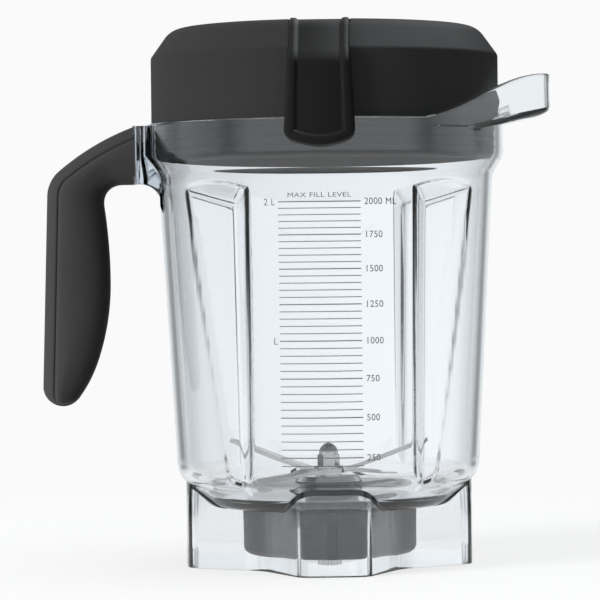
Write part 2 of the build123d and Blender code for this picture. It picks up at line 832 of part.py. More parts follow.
pieces = {
    "jar": jar,
    "handle_grip": handle_grip,
    "lid": lid,
    "front_flap": front_flap,
    "rear_flap": rear_flap,
    "lid_plug": lid_plug,
    "bearing_housing": bearing_housing,
    "housing_gasket": housing_gasket,
    "shaft_lip_seal": shaft_lip_seal,
    "bearing_retaining_ring": bearing_retaining_ring,
    "upper_bearing_outer_ring": upper_outer,
    "upper_bearing_inner_ring": upper_inner,
    "upper_bearing_balls": upper_balls,
    "lower_bearing_outer_ring": lower_outer,
    "lower_bearing_inner_ring": lower_inner,
    "lower_bearing_balls": lower_balls,
    "bearing_spacer": bearing_spacer,
    "blade_spacer": blade_spacer,
    "drive_shaft": drive_shaft,
    "retainer_nut": retainer_nut,
    "blade": blade,
    "blade_washer": blade_washer,
    "blade_nut": blade_nut,
}
os.makedirs("parts", exist_ok=True)
for label, piece in pieces.items():
    piece.part.label = label
    export_step(piece.part, f"parts/{label}.step")
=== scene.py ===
import math

import bmesh
import bpy
import numpy as np
from mathutils import Matrix, Vector


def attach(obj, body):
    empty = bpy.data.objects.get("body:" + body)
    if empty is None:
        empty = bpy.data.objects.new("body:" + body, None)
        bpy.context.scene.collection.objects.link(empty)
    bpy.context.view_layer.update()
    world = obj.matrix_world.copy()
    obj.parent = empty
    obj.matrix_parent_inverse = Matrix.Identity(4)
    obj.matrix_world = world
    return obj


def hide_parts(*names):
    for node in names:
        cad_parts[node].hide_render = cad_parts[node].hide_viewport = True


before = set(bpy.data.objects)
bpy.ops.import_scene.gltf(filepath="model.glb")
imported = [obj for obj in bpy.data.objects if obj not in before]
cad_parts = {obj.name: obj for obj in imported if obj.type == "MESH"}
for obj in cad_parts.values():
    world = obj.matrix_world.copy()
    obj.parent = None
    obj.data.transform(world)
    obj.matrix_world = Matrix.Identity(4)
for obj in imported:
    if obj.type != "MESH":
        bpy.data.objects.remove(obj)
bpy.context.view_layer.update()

scene = bpy.context.scene
mm = 0.001

# Sizes in millimetres and angles in degrees. They are those of the solids, but the rounds of the lobes'
# corners, the arm's web and the flaps' bend are larger here.
base_height, floor_top, wall = 28.0, 33.8, 3.1
body_foot_radius, body_top_radius = 69.7, 78.3
shoulder_height, shoulder_rise, shoulder_round = 181.8, 8.6, 8.0
bevel_top, bevel_round, foot_round = 43.0, 8.0, 11.5
rim_radius, rim_wall, rim_height = 83.4, 3.2, 206.5
rim_inner = rim_radius - rim_wall
housing_radius = 13.02
flute_foot, flute_top, flute_lip_height, flute_roof_slope = 34.0, 172.0, 178.0, 48.0
skirt_reach, skirt_wall, lobe_width, lobe_bulge, waist_radius = 67.0, 2.8, 31.2, 1.4, 46.6
lobe_round, waist_round = 7.0, 24.0
spout_reach, spout_nose, spout_top, spout_start = 106.0, 13.0, 228.6, 43.0
spout_wall, spout_floor, spout_slope, spout_lip_height = 1.7, 3.0, 12.6, 209.7
spout_rise_run, spout_rise_lift, spout_tip_run = 20.0, 3.5, 23.0
handle_reach, grip_start, grip_fullness, grip_neck = 133.0, 89.0, 31.6, 27.4
grip_tip_width, grip_end, grip_tip_height, grip_full_height = 17.2, 75.7, 8.3, 133.0
tip_low_share, swell_share, swell_width_share = 0.4, 0.36, 0.58
knuckle_lean, knuckle_drop, knuckle_bow = 3.0, 25.5, 3.0
arm_top, arm_bottom, arm_web = 205.7, 178.5, 10.5
arm_half, core_half, core_skin, grip_half, grip_round = 10.5, 8.0, 5.5, 13.5, 8.0
lid_radius, lid_shoulder_height = 81.4, 237.4
lid_crown_radius, crown_edge_height, lid_crown_round, lid_turn = 71.8, 250.8, 10.0, -3.6
flap_inner, flap_outer, flap_gap, flap_strap = 83.8, 87.4, 0.4, 2.0
flap_top_width, flap_bottom_width, flap_tip_height, flap_corner_height = 27.2, 32.4, 192.8, 197.2
flap_hinge_radius, strap_top, flap_corner_round, flap_bend_round = 60.0, 251.4, 4.0, 12.0

# Sizes of a flute at its foot and at its top: angles from the front, and depth. The near side lies a little
# further from the front than in the solids, and the foot is a little deeper.
flute_near, flute_valley, flute_far, flute_depth = (32.2, 29.6), (36.3, 37.4), (41.5, 57.0), (2.4, 8.2)
# How soft a flute's edges are on the outside and on the inside of the wall
near_lip_soft, far_lip_soft, roof_lip_soft, valley_soft = (0.4, 0.12), (0.18, 0.08), (0.3, 0.1), (1.2, 2.2)
corner_soft = 1.2

# Rings of the clear jar: points in each, and the heights where one part of the wall hands over to the next
jar_columns = 528
wall_low, rim_low = 60.0, 196.0
bevel_run, wall_start = 8.0, bevel_top + 12
roof_levels = np.concatenate([np.linspace(flute_top - 10, flute_top - 5, 4),
                              np.arange(flute_top - 4, flute_top + 1, 0.7),
                              np.arange(flute_top + 1.5, flute_lip_height + 1.4, 0.65)])

# Relief that the solids have plainer or not at all: the arm's flare, the grip's section and crease, and the
# flaps' border and panel
arm_flare, arm_reach, arm_edge = 4.6, 6.0, 1.4
knuckle_soft, throat_soft = 6.2, 10.5
back_fall, finger_fall, full_width = 0.6, 0.5, 17.0
strip_width, crease_depth, crease_width = 5.6, 0.8, 0.5
border_top, border_gain, border_bead = 3.2, 1.6, 0.25
flap_edge_round, panel_depth, panel_step = 1.3, 0.85, 0.9

# Volume scale: its angle from the front, its lines, and the height of a level as a curve in litres
scale_turn, print_thickness, line_lift, word_lift = -4.2, 0.06, 0.02, 0.05
line_left, line_right, line_half, figure_line_half = -18.6, 18.6, 0.19, 0.24
scale_step, scale_lowest, scale_highest, figure_every = 0.05, 0.2, 2.0, 250
scale_foot, scale_rise, scale_slowing = 35.4, 75.5, 4.4
figure_size, figure_stretch, figure_gap = 4.3, 0.95, 1.6
heading_size, heading_stretch = 3.0, 1.3


# Shader helpers

def feed(tree, value, socket):
    """Number or node output given to a socket."""
    if isinstance(value, (int, float)):
        socket.default_value = value
    else:
        tree.links.new(value, socket)


def set_sockets(node, **values):
    """Plain values on a node's sockets, whose names have underscores for spaces here."""
    for socket, value in values.items():
        node.inputs[socket.replace("_", " ")].default_value = value


def math_node(tree, operation, *given):
    """Output of a math node that is fed with numbers or node outputs."""
    node = tree.nodes.new("ShaderNodeMath")
    node.operation = operation
    for value, socket in zip(given, node.inputs):
        feed(tree, value, socket)
    return node.outputs[0]


def ramp(tree, value, start, end, low, high):
    """Smooth change from low to high while a value goes from start to end."""
    node = tree.nodes.new("ShaderNodeMapRange")
    node.interpolation_type = "SMOOTHSTEP"
    set_sockets(node, From_Min=start, From_Max=end, To_Min=low, To_Max=high)
    tree.links.new(value, node.inputs["Value"])
    return node.outputs["Result"]


def noise(tree, place, scale, detail):
    """Noise over a place, at a scale that is a number or a node output."""
    node = tree.nodes.new("ShaderNodeTexNoise")
    node.inputs["Detail"].default_value = detail
    tree.links.new(place, node.inputs["Vector"])
    feed(tree, scale, node.inputs["Scale"])
    return node.outputs["Fac"]


def distance_from_origin(tree, place):
    """Length of a place's vector."""
    node = tree.nodes.new("ShaderNodeVectorMath")
    node.operation = "LENGTH"
    tree.links.new(place, node.inputs[0])
    return node.outputs["Value"]


def new_material(name):
    """Empty node material with its tree and output."""
    material = bpy.data.materials.new(name)
    material.use_nodes = True
    tree = material.node_tree
    tree.nodes.clear()
    return material, tree, tree.nodes.new("ShaderNodeOutputMaterial")


def principled(tree, output, **values):
    """Principled shader with plain socket values, wired to the surface."""
    shader = tree.nodes.new("ShaderNodeBsdfPrincipled")
    set_sockets(shader, **values)
    tree.links.new(shader.outputs["BSDF"], output.inputs["Surface"])
    return shader


# Effects that several materials share

def new_group(name, **inputs):
    """Shader node group with named inputs that puts out a colour, a roughness and a height."""
    group = bpy.data.node_groups.new(name, "ShaderNodeTree")
    for label, value in inputs.items():
        kind = "NodeSocketColor" if isinstance(value, tuple) else "NodeSocketFloat"
        socket = group.interface.new_socket(label.replace("_", " "), in_out="INPUT", socket_type=kind)
        socket.default_value = value
    for label, kind in (("Color", "NodeSocketColor"), ("Roughness", "NodeSocketFloat"),
                        ("Height", "NodeSocketFloat")):
        group.interface.new_socket(label, in_out="OUTPUT", socket_type=kind)
    return group, group.nodes.new("NodeGroupInput"), group.nodes.new("NodeGroupOutput")


def put_out(group, given, out, tone, rough, height):
    """Results of a group: a colour between its dark and light inputs, a roughness and a height."""
    blend = group.nodes.new("ShaderNodeMix")
    blend.data_type = "RGBA"
    share_socket, dark_socket, light_socket = blend.inputs[0], blend.inputs[6], blend.inputs[7]
    group.links.new(tone, share_socket)
    group.links.new(given.outputs["Dark"], dark_socket)
    group.links.new(given.outputs["Light"], light_socket)
    group.links.new(blend.outputs[2], out.inputs["Color"])
    group.links.new(rough, out.inputs["Roughness"])
    group.links.new(height, out.inputs["Height"])


def make_moulded_grain():
    """Fine spark-eroded texture of a moulded surface, with slow changes of tone and gloss."""
    group, given, out = new_group("moulded_grain", Dark=(0.02, 0.02, 0.02, 1), Light=(0.05, 0.05, 0.05, 1),
                                  Grain_Scale=2500.0, Rough=0.5, Rough_Spread=0.1)
    cloud_scale, cloud_share = 28.0, 0.55
    place = group.nodes.new("ShaderNodeTexCoord").outputs["Object"]
    grain = noise(group, place, given.outputs["Grain Scale"], 3.0)
    cloud = noise(group, place, cloud_scale, 4.0)
    tone = math_node(group, "MULTIPLY_ADD", cloud, cloud_share,
                     math_node(group, "MULTIPLY", grain, 1 - cloud_share))
    rough = math_node(group, "MULTIPLY_ADD", cloud, given.outputs["Rough Spread"], given.outputs["Rough"])
    put_out(group, given, out, tone, rough, grain)
    return group


def make_turned_lines():
    """Fine rings left by turning about the jar's axis."""
    group, given, out = new_group("turned_lines", Dark=(0.3, 0.3, 0.3, 1), Light=(0.6, 0.6, 0.6, 1),
                                  Pitch=4000.0, Rough=0.25)
    rough_spread = 0.16
    place = group.nodes.new("ShaderNodeTexCoord")
    split = group.nodes.new("ShaderNodeSeparateXYZ")
    flat, ring = [group.nodes.new("ShaderNodeCombineXYZ") for _ in range(2)]
    group.links.new(place.outputs["Object"], split.inputs[0])
    group.links.new(split.outputs["X"], flat.inputs["X"])
    group.links.new(split.outputs["Y"], flat.inputs["Y"])
    group.links.new(distance_from_origin(group, flat.outputs[0]), ring.inputs["X"])
    group.links.new(split.outputs["Z"], ring.inputs["Z"])
    lines = noise(group, ring.outputs[0], given.outputs["Pitch"], 2.0)
    rough = math_node(group, "MULTIPLY_ADD", lines, rough_spread, given.outputs["Rough"])
    put_out(group, given, out, lines, rough, lines)
    return group


moulded_grain = make_moulded_grain()
turned_lines = make_turned_lines()


# Materials

def textured(name, group, given, relief, relief_height, **values):
    """Material whose colour, roughness and relief come from a shared effect with its own values."""
    material, tree, output = new_material(name)
    shader = principled(tree, output, **values)
    effect = tree.nodes.new("ShaderNodeGroup")
    effect.node_tree = group
    set_sockets(effect, **given)
    bump = tree.nodes.new("ShaderNodeBump")
    set_sockets(bump, Strength=relief, Distance=relief_height)
    tree.links.new(effect.outputs["Color"], shader.inputs["Base Color"])
    tree.links.new(effect.outputs["Roughness"], shader.inputs["Roughness"])
    tree.links.new(effect.outputs["Height"], bump.inputs["Height"])
    tree.links.new(bump.outputs["Normal"], shader.inputs["Normal"])
    return material


def fine_grained(name, dark, light, rough, spread, scale, relief, **values):
    """Dark moulded or printed material with a fine grain."""
    given = {"Dark": (*dark, 1), "Light": (*light, 1), "Grain_Scale": scale,
             "Rough": rough, "Rough_Spread": spread}
    return textured(name, moulded_grain, given, relief, 0.1 * mm, **values)


def turned_metal(name, dark, light, pitch, rough, relief):
    """Metal with turning lines."""
    given = {"Dark": (*dark, 1), "Light": (*light, 1), "Pitch": pitch, "Rough": rough}
    return textured(name, turned_lines, given, relief, 0.05 * mm, Metallic=1.0)


def clear_moulding(name, ior, tint, density):
    """Clear moulded plastic: a smooth surface and a faint cool tint in its depth."""
    material, tree, output = new_material(name)
    principled(tree, output, Base_Color=(1, 1, 1, 1), Transmission_Weight=1.0, IOR=ior, Roughness=0.0)
    absorb = tree.nodes.new("ShaderNodeVolumeAbsorption")
    set_sockets(absorb, Color=(*tint, 1), Density=density)
    tree.links.new(absorb.outputs["Volume"], output.inputs["Volume"])
    return material


clear_plastic = clear_moulding("clear_jar_plastic", ior=1.57, tint=(0.55, 0.63, 0.71), density=40.0)
plug_plastic = clear_moulding("clear_plug_plastic", ior=1.5, tint=(0.7, 0.74, 0.76), density=20.0)
lid_black = fine_grained("lid_soft_black", (0.012, 0.012, 0.0125), (0.02, 0.02, 0.0205),
                         rough=0.5, spread=0.1, scale=2600.0, relief=0.04, Specular_IOR_Level=0.5)
flap_black = fine_grained("flap_soft_black", (0.003, 0.003, 0.0033), (0.007, 0.007, 0.0073),
                          rough=0.3, spread=0.08, scale=2600.0, relief=0.2, Specular_IOR_Level=0.5)
grip_black = fine_grained("grip_soft_black", (0.026, 0.0255, 0.026), (0.04, 0.0395, 0.04),
                          rough=0.5, spread=0.1, scale=3000.0, relief=0.3, Specular_IOR_Level=0.14)
seal_black = fine_grained("seal_black", (0.02, 0.02, 0.02), (0.04, 0.04, 0.04),
                          rough=0.5, spread=0.1, scale=3000.0, relief=0.2)
nut_grey = fine_grained("retainer_grey", (0.05, 0.052, 0.056), (0.085, 0.087, 0.092),
                        rough=0.45, spread=0.12, scale=1800.0, relief=0.3)
scale_print = fine_grained("scale_print_grey", (0.1, 0.1, 0.1), (0.13, 0.13, 0.13),
                           rough=0.6, spread=0.1, scale=2000.0, relief=0.0)
blade_steel = turned_metal("blade_ground_steel", (0.46, 0.46, 0.46), (0.72, 0.72, 0.72),
                           pitch=1800.0, rough=0.16, relief=0.15)
housing_steel = turned_metal("housing_turned_steel", (0.62, 0.62, 0.63), (0.86, 0.86, 0.86),
                             pitch=3000.0, rough=0.18, relief=0.2)
bearing_steel = turned_metal("bearing_ground_steel", (0.5, 0.5, 0.5), (0.68, 0.68, 0.68),
                             pitch=5000.0, rough=0.12, relief=0.1)


# Mesh helpers

def make_piece(name, points, faces, material, body, sharp=35.0):
    """Smooth-shaded mesh piece in metres that rides on a body."""
    mesh = bpy.data.meshes.new(name)
    mesh.from_pydata([tuple(p) for p in points], [], faces)
    mesh.update()
    for face in mesh.polygons:
        face.use_smooth = True
    if sharp:
        mesh.set_sharp_from_angle(angle=math.radians(sharp))
    piece = bpy.data.objects.new(name, mesh)
    scene.collection.objects.link(piece)
    piece.data.materials.append(material)
    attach(piece, body)
    return piece


def make_soft_edges():
    """Modifier tree that joins split vertices and shades smoothly up to an edge angle."""
    tree = bpy.data.node_groups.new("smooth_by_angle", "GeometryNodeTree")
    for way in ("INPUT", "OUTPUT"):
        tree.interface.new_socket("Geometry", in_out=way, socket_type="NodeSocketGeometry")
    nodes, links = tree.nodes, tree.links
    given, out = nodes.new("NodeGroupInput"), nodes.new("NodeGroupOutput")
    join = nodes.new("GeometryNodeMergeByDistance")
    join.inputs["Distance"].default_value = 0.01 * mm
    smooth = nodes.new("GeometryNodeSetShadeSmooth")
    sharp = nodes.new("GeometryNodeSetShadeSmooth")
    sharp.domain = "EDGE"
    sharp.inputs["Shade Smooth"].default_value = False
    angle = nodes.new("GeometryNodeInputMeshEdgeAngle")
    steep = nodes.new("FunctionNodeCompare")
    steep.inputs["B"].default_value = math.radians(32)
    links.new(angle.outputs["Unsigned Angle"], steep.inputs["A"])
    links.new(given.outputs[0], join.inputs["Geometry"])
    links.new(join.outputs["Geometry"], smooth.inputs["Geometry"])
    links.new(smooth.outputs["Geometry"], sharp.inputs["Geometry"])
    links.new(steep.outputs["Result"], sharp.inputs["Selection"])
    links.new(sharp.outputs["Geometry"], out.inputs[0])
    return tree


soft_edges = make_soft_edges()


def dress(node, material):
    """Material and smooth shading for a solid that stays as it is."""
    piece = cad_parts[node]
    piece.data.materials.clear()
    piece.data.materials.append(material)
    shading = piece.modifiers.new("smooth_by_angle", "NODES")
    shading.node_group = soft_edges


def weld(piece):
    """Joins points that coincide, so that the mesh is one closed skin."""
    skin = bmesh.new()
    skin.from_mesh(piece.data)
    bmesh.ops.remove_doubles(skin, verts=skin.verts, dist=0.002 * mm)
    bmesh.ops.dissolve_degenerate(skin, edges=skin.edges, dist=0.002 * mm)
    skin.to_mesh(piece.data)
    skin.free()


def unite(piece, extra):
    """Joins another closed mesh to a piece and drops the other."""
    union = piece.modifiers.new("union", "BOOLEAN")
    union.operation, union.solver, union.object = "UNION", "MANIFOLD", extra
    shape = bpy.data.meshes.new_from_object(piece.evaluated_get(bpy.context.evaluated_depsgraph_get()))
    piece.modifiers.clear()
    piece.data = shape
    bpy.data.objects.remove(extra)


def band(low, high, count):
    """Faces between two closed rings whose points begin at low and at high."""
    return [(low + i, low + (i + 1) % count, high + (i + 1) % count, high + i) for i in range(count)]


def bridge(rings, count):
    """Faces between closed rings of equal count, with both ends closed."""
    faces = [tuple(range(count))[::-1]]
    for k in range(rings - 1):
        faces += band(k * count, (k + 1) * count, count)
    return faces + [tuple((rings - 1) * count + i for i in range(count))]


def make_layers(name, layers, material, body):
    """Closed piece across the handle from outlines on one side, mirrored to the other side."""
    layers = layers + [(outline, -depth) for outline, depth in layers[::-1]]
    points = [(x * mm, y * mm, z * mm) for outline, y in layers for x, z in outline]
    return make_piece(name, points, bridge(len(layers), len(layers[0][0])), material, body)


# Paths and curves

def rounded_path(corners, radii, closed=False, steps=8):
    """Points along straight runs whose corners are rounded."""
    count = len(corners)
    path = []
    for i, corner in enumerate(corners):
        here = np.array(corner, float)
        radius = radii[i]
        if radius <= 0 or (not closed and i in (0, count - 1)):
            path.append(here)
            continue
        back = np.array(corners[i - 1], float) - here
        ahead = np.array(corners[(i + 1) % count], float) - here
        back_dir, ahead_dir = back / np.linalg.norm(back), ahead / np.linalg.norm(ahead)
        half = math.acos(float(np.clip(back_dir @ ahead_dir, -1, 1))) / 2
        middle = back_dir + ahead_dir
        centre = here + middle / np.linalg.norm(middle) * radius / math.sin(half)
        start, end = [here + way * radius / math.tan(half) for way in (back_dir, ahead_dir)]
        path += list(sweep_about(centre, start, end, steps))
    return np.array(path)


def sweep_about(centre, start, end, steps):
    """Points on the shorter arc about a centre."""
    first, last = start - centre, end - centre
    turn = math.atan2(first[0] * last[1] - first[1] * last[0], first @ last)
    bend = np.linspace(0, turn, steps + 1)
    c, s = np.cos(bend), np.sin(bend)
    return centre + np.stack([first[0] * c - first[1] * s, first[0] * s + first[1] * c], axis=1)


def arc_through(start, middle, end, steps):
    """Points on the circle through three points."""
    (ax, ay), (bx, by), (cx, cy) = start, middle, end
    twice = 2 * (ax * (by - cy) + bx * (cy - ay) + cx * (ay - by))
    a2, b2, c2 = ax * ax + ay * ay, bx * bx + by * by, cx * cx + cy * cy
    centre = np.array([(a2 * (by - cy) + b2 * (cy - ay) + c2 * (ay - by)) / twice,
                       (a2 * (cx - bx) + b2 * (ax - cx) + c2 * (bx - ax)) / twice])
    return sweep_about(centre, np.array(start), np.array(end), steps)


def arc_tangent(start, heading, end, steps):
    """Points on the circle that leaves a point along a heading and ends at another, and the last heading."""
    start, end, heading = np.array(start), np.array(end), np.array(heading, float)
    side = np.array([-heading[1], heading[0]]) / np.linalg.norm(heading)
    gap = end - start
    centre = start + side * (gap @ gap) / (2 * (gap @ side))
    path = sweep_about(centre, start, end, steps)
    return path, path[-1] - path[-2]


def cubic(start, first_pull, second_pull, end, share):
    """Places on a cubic curve from start to end."""
    left = 1 - share
    return (left ** 3 * start + 3 * left ** 2 * share * first_pull
            + 3 * left * share ** 2 * second_pull + share ** 3 * end)


def refine(path, spacing):
    """Points added along long runs of a path."""
    points = [path[0]]
    for a, b in zip(path[:-1], path[1:]):
        n = max(1, int(np.ceil(np.linalg.norm(b - a) / spacing)))
        points += [a + (b - a) * k / n for k in range(1, n + 1)]
    return np.array(points)


def path_run(path):
    """Length of a path up to each of its points."""
    return np.concatenate([[0], np.cumsum(np.linalg.norm(np.diff(path, axis=0), axis=1))])


def along(path, share):
    """Points at shares of a path's length."""
    run = path_run(path)
    return np.stack([np.interp(np.asarray(share) * run[-1], run, path[:, k]) for k in (0, 1)], axis=1)


def share_at(path, point):
    """Share of a path's length at the place nearest to a point."""
    run = path_run(path)
    return run[int(np.argmin(np.linalg.norm(path - np.array(point), axis=1)))] / run[-1]


def soften_corner(before, after, length, steps=14):
    """Two paths that meet at a corner, joined by a curve that begins and ends a length away from it."""
    pull = 0.58

    def cut(path):
        run = path_run(path)
        edge = np.array([np.interp(length, run, path[:, 0]), np.interp(length, run, path[:, 1])])
        return edge, path[run > length]

    corner = after[0]
    start, kept_before = cut(before[::-1])
    end, kept_after = cut(after)
    share = np.linspace(0, 1, steps)[:, None]
    curve = cubic(start, start + (corner - start) * pull, end + (corner - end) * pull, end, share)
    return np.vstack([kept_before[::-1], curve, kept_after])


def inward_normals(outline):
    """Unit normals of a closed outline that runs anticlockwise."""
    ahead = np.roll(outline, -1, axis=0) - np.roll(outline, 1, axis=0)
    return np.stack([-ahead[:, 1], ahead[:, 0]], axis=1) / np.linalg.norm(ahead, axis=1)[:, None]


def inset_outline(outline, amount):
    """Closed outline moved inwards."""
    sharpest = 0.4
    ahead = np.roll(outline, -1, axis=0) - outline
    ahead = ahead / np.linalg.norm(ahead, axis=1)[:, None]
    behind = np.roll(ahead, 1, axis=0)
    area = np.sum(outline[:, 0] * np.roll(outline[:, 1], -1) - np.roll(outline[:, 0], -1) * outline[:, 1])
    normal = (ahead + behind)[:, ::-1] * (np.array([-1, 1]) if area > 0 else np.array([1, -1]))
    return outline + normal * (amount / np.maximum(1 + np.sum(ahead * behind, axis=1), sharpest))[:, None]


def reach_by_angle(outline, angles):
    """Distance from the axis to a closed outline at given angles."""
    around = np.degrees(np.arctan2(outline[:, 1], outline[:, 0])) % 360
    reach = np.hypot(outline[:, 0], outline[:, 1])
    order = np.argsort(around)
    return np.interp(angles % 360, around[order], reach[order], period=360)


def ease_around(angles, values, spread):
    """Values about the axis with their steps eased over a spread of degrees."""
    gap = (angles[:, None] - angles[None, :] + 180) % 360 - 180
    step = np.gradient(np.unwrap(angles, period=360))
    weight = np.exp(-(gap / spread) ** 2) * step[None, :]
    return weight @ values / weight.sum(axis=1)


def ease(share):
    """Share from 0 to 1 that starts and ends slowly."""
    share = np.clip(share, 0, 1)
    return share * share * (3 - 2 * share)


def smooth_max(a, b, soft):
    """Larger of two values, with a soft change from one to the other."""
    return (a + b + np.sqrt((a - b) ** 2 + soft ** 2)) / 2


def smooth_min(a, b, soft):
    """Smaller of two values, with a soft change from one to the other."""
    return (a + b - np.sqrt((a - b) ** 2 + soft ** 2)) / 2


# Clear jar, as rings of points about its axis: each ring is a reach from the axis and a height

def wall_radius(height):
    """Radius of the outside of the wall between the flutes."""
    share = (height - base_height) / (shoulder_height - base_height)
    return body_foot_radius + share * (body_top_radius - body_foot_radius)


def fold_to_front(angles):
    """Degrees from the front or the rear, whichever is nearer, for angles counted from the spout."""
    from_front = np.abs((angles + 90 + 180) % 360 - 180)
    return np.where(from_front > 90, 180 - from_front, from_front)


def fluted(reach, angles, height, skin):
    """Distance from the axis to the fluted wall at a height, at angles counted from the spout."""
    grazing, far_away, lip_blend = 0.12, 300.0, 3.0
    share = (height - flute_foot) / (flute_top - flute_foot)
    radius = wall_radius(height)
    near, valley, far, depth = [foot + share * (top - foot) for foot, top in
                                (flute_near, flute_valley, flute_far, flute_depth)]
    from_front = fold_to_front(angles)

    def at(reach, angle):
        return np.array([reach * math.sin(math.radians(angle)), reach * math.cos(math.radians(angle))])

    bottom = at(radius - depth, valley)
    rays = np.stack([np.sin(np.radians(from_front)), np.cos(np.radians(from_front))])

    def side(lip, within):
        slant = lip - bottom
        normal = np.array([-slant[1], slant[0]]) / np.linalg.norm(slant)
        if normal @ within < 0:
            normal = -normal
        facing = normal @ rays
        return np.where(facing > grazing, (normal @ bottom - skin) / np.maximum(facing, grazing), far_away)

    far_side = side(at(radius, far), at(1, near))
    near_side = side(at(radius, near), at(1, far))
    middle = (flute_near[1] + flute_far[1]) / 2
    slope = math.radians(flute_roof_slope)
    above_lip = height - flute_lip_height
    roof = wall_radius(flute_lip_height) + above_lip / math.tan(slope) - skin / math.sin(slope)
    roof_side = roof / np.cos(np.radians(from_front - middle))
    inner = 1 if skin else 0
    sides = smooth_max(near_side, far_side, valley_soft[inner])
    flute = smooth_max(sides, roof_side, corner_soft)
    past_valley = np.clip((from_front - valley) / lip_blend + 0.5, 0, 1)
    soft = near_lip_soft[inner] + (far_lip_soft[inner] - near_lip_soft[inner]) * past_valley
    on_roof = np.clip((roof_side - sides) / lip_blend + 0.5, 0, 1)
    soft = soft + (roof_lip_soft[inner] - soft) * on_roof
    return smooth_min(reach, flute, soft)


def spread_columns(columns):
    """Angles about the axis, closer together at the flutes, the lobes' corners and the spout's nose."""
    fine = np.arange(0, 360, 0.02)
    from_lobe = np.abs((fine + 45) % 90 - 45)
    from_front = fold_to_front(fine)
    from_spout = np.abs((fine + 180) % 360 - 180)
    density = np.full(fine.shape, 0.65)
    for angle, start, end, closeness in ((from_front, 25, 59, 2.4), (from_front, 25.5, 33, 3.3),
                                         (from_lobe, 10.5, 16.5, 1.4), (from_spout, -1, 9, 1.7)):
        density = np.where((angle > start) & (angle < end), closeness, density)
    half_blur = 50
    blur = np.ones(2 * half_blur + 1) / (2 * half_blur + 1)
    density = np.convolve(np.concatenate([density[-half_blur:], density, density[:half_blur]]), blur, "valid")
    total = np.cumsum(density)
    return np.interp(np.arange(columns) * total[-1] / columns, total, fine)


def lobed_outline():
    """Outline of the skirt: four bulged lobes with rounded corners, and hollow waists between them."""
    half, corner, bulge = lobe_width / 2, skirt_reach - lobe_bulge, skirt_reach - lobe_bulge / 4
    waist = waist_radius * math.cos(math.radians(45))
    lobe = ((corner, -half, lobe_round), (bulge, -half / 2, 0), (skirt_reach, 0, 0), (bulge, half / 2, 0),
            (corner, half, lobe_round), (waist, waist, waist_round))
    corners, radii = [], []
    for c, s in ((1, 0), (0, 1), (-1, 0), (0, -1)):
        for x, y, radius in lobe:
            corners.append((x * c - y * s, x * s + y * c))
            radii.append(radius)
    outline = rounded_path(corners, radii, closed=True, steps=10)
    return refine(np.vstack([outline, outline[:1]]), 0.6)[:-1]


def skirt_rings(angles):
    """Underside of the floor, the skirt down its inside and up its outside, and the bevel below the wall."""
    bevel_radius, bevel_end = wall_radius(bevel_top), bevel_top + bevel_run
    low = rounded_path([(housing_radius, base_height), (bevel_radius - bevel_top + base_height, base_height),
                        (bevel_radius, bevel_top), (wall_radius(bevel_end), bevel_end)],
                       [0, bevel_round, foot_round, 0], steps=12)
    low = refine(low, 1.5)
    low_run = path_run(low)

    def low_at(run):
        return np.interp(run, low_run, low[:, 0]), np.interp(run, low_run, low[:, 1])

    outline = lobed_outline()
    skirt_out = reach_by_angle(outline, angles)
    skirt_in = reach_by_angle(outline + inward_normals(outline) * skirt_wall, angles)
    run_in = ease_around(angles, np.interp(skirt_in, low[:, 0], low_run), 4.0)
    run_out = ease_around(angles, np.interp(skirt_out, low[:, 0], low_run), 5.0)
    neck_in, top_in = low_at(run_in)
    neck_out, top_out = low_at(run_out)
    ease_share, inner_edge, outer_edge = 0.4, 0.35, 0.5
    rings = [low_at(run_in * share) for share in np.linspace(0, 1, 9)[:-1]]
    for share in (0.0, 0.12, 0.25, 0.4, 0.7):
        drawn_in = max(1 - share / ease_share, 0) ** 2
        rings.append((skirt_in + (neck_in - skirt_in) * drawn_in, top_in * (1 - share)))
    # the foot, with its edges broken
    rings += [(skirt_in, top_in * 0.03 + inner_edge), (skirt_in + inner_edge, 0.0),
              (skirt_out - outer_edge, 0.0), (skirt_out - 0.12, 0.14), (skirt_out, top_out * 0.02 + 0.1)]
    for share in (0.3, 0.6, 0.75, 0.88):
        drawn_in = max(1 - (1 - share) / ease_share, 0) ** 2
        rings.append((skirt_out + (neck_out - skirt_out) * drawn_in, top_out * share))
    for share in np.linspace(0, 1, 20):
        reach, height = low_at(run_out + (low_run[-1] - run_out) * share)
        reach = np.array([fluted(r, a, h, 0.0)[0] for r, a, h in zip(reach, angles[:, None], height)])
        rings.append((reach, height))
    return rings


def wall_rings(angles):
    """Outside of the wall with its flutes, the shoulder and the lower part of the rim."""
    shoulder = rounded_path([(wall_radius(wall_low), wall_low), (body_top_radius, shoulder_height),
                             (rim_radius, shoulder_height + shoulder_rise), (rim_radius, rim_low)],
                            [0, shoulder_round, shoulder_round, 0], steps=7)
    levels = np.concatenate([np.linspace(wall_start, flute_top - 15, 9), roof_levels])
    outside = [(wall_radius(height), height) for height in levels] + list(shoulder[1:])
    return [(fluted(reach, angles, height, 0.0), height) for reach, height in outside]


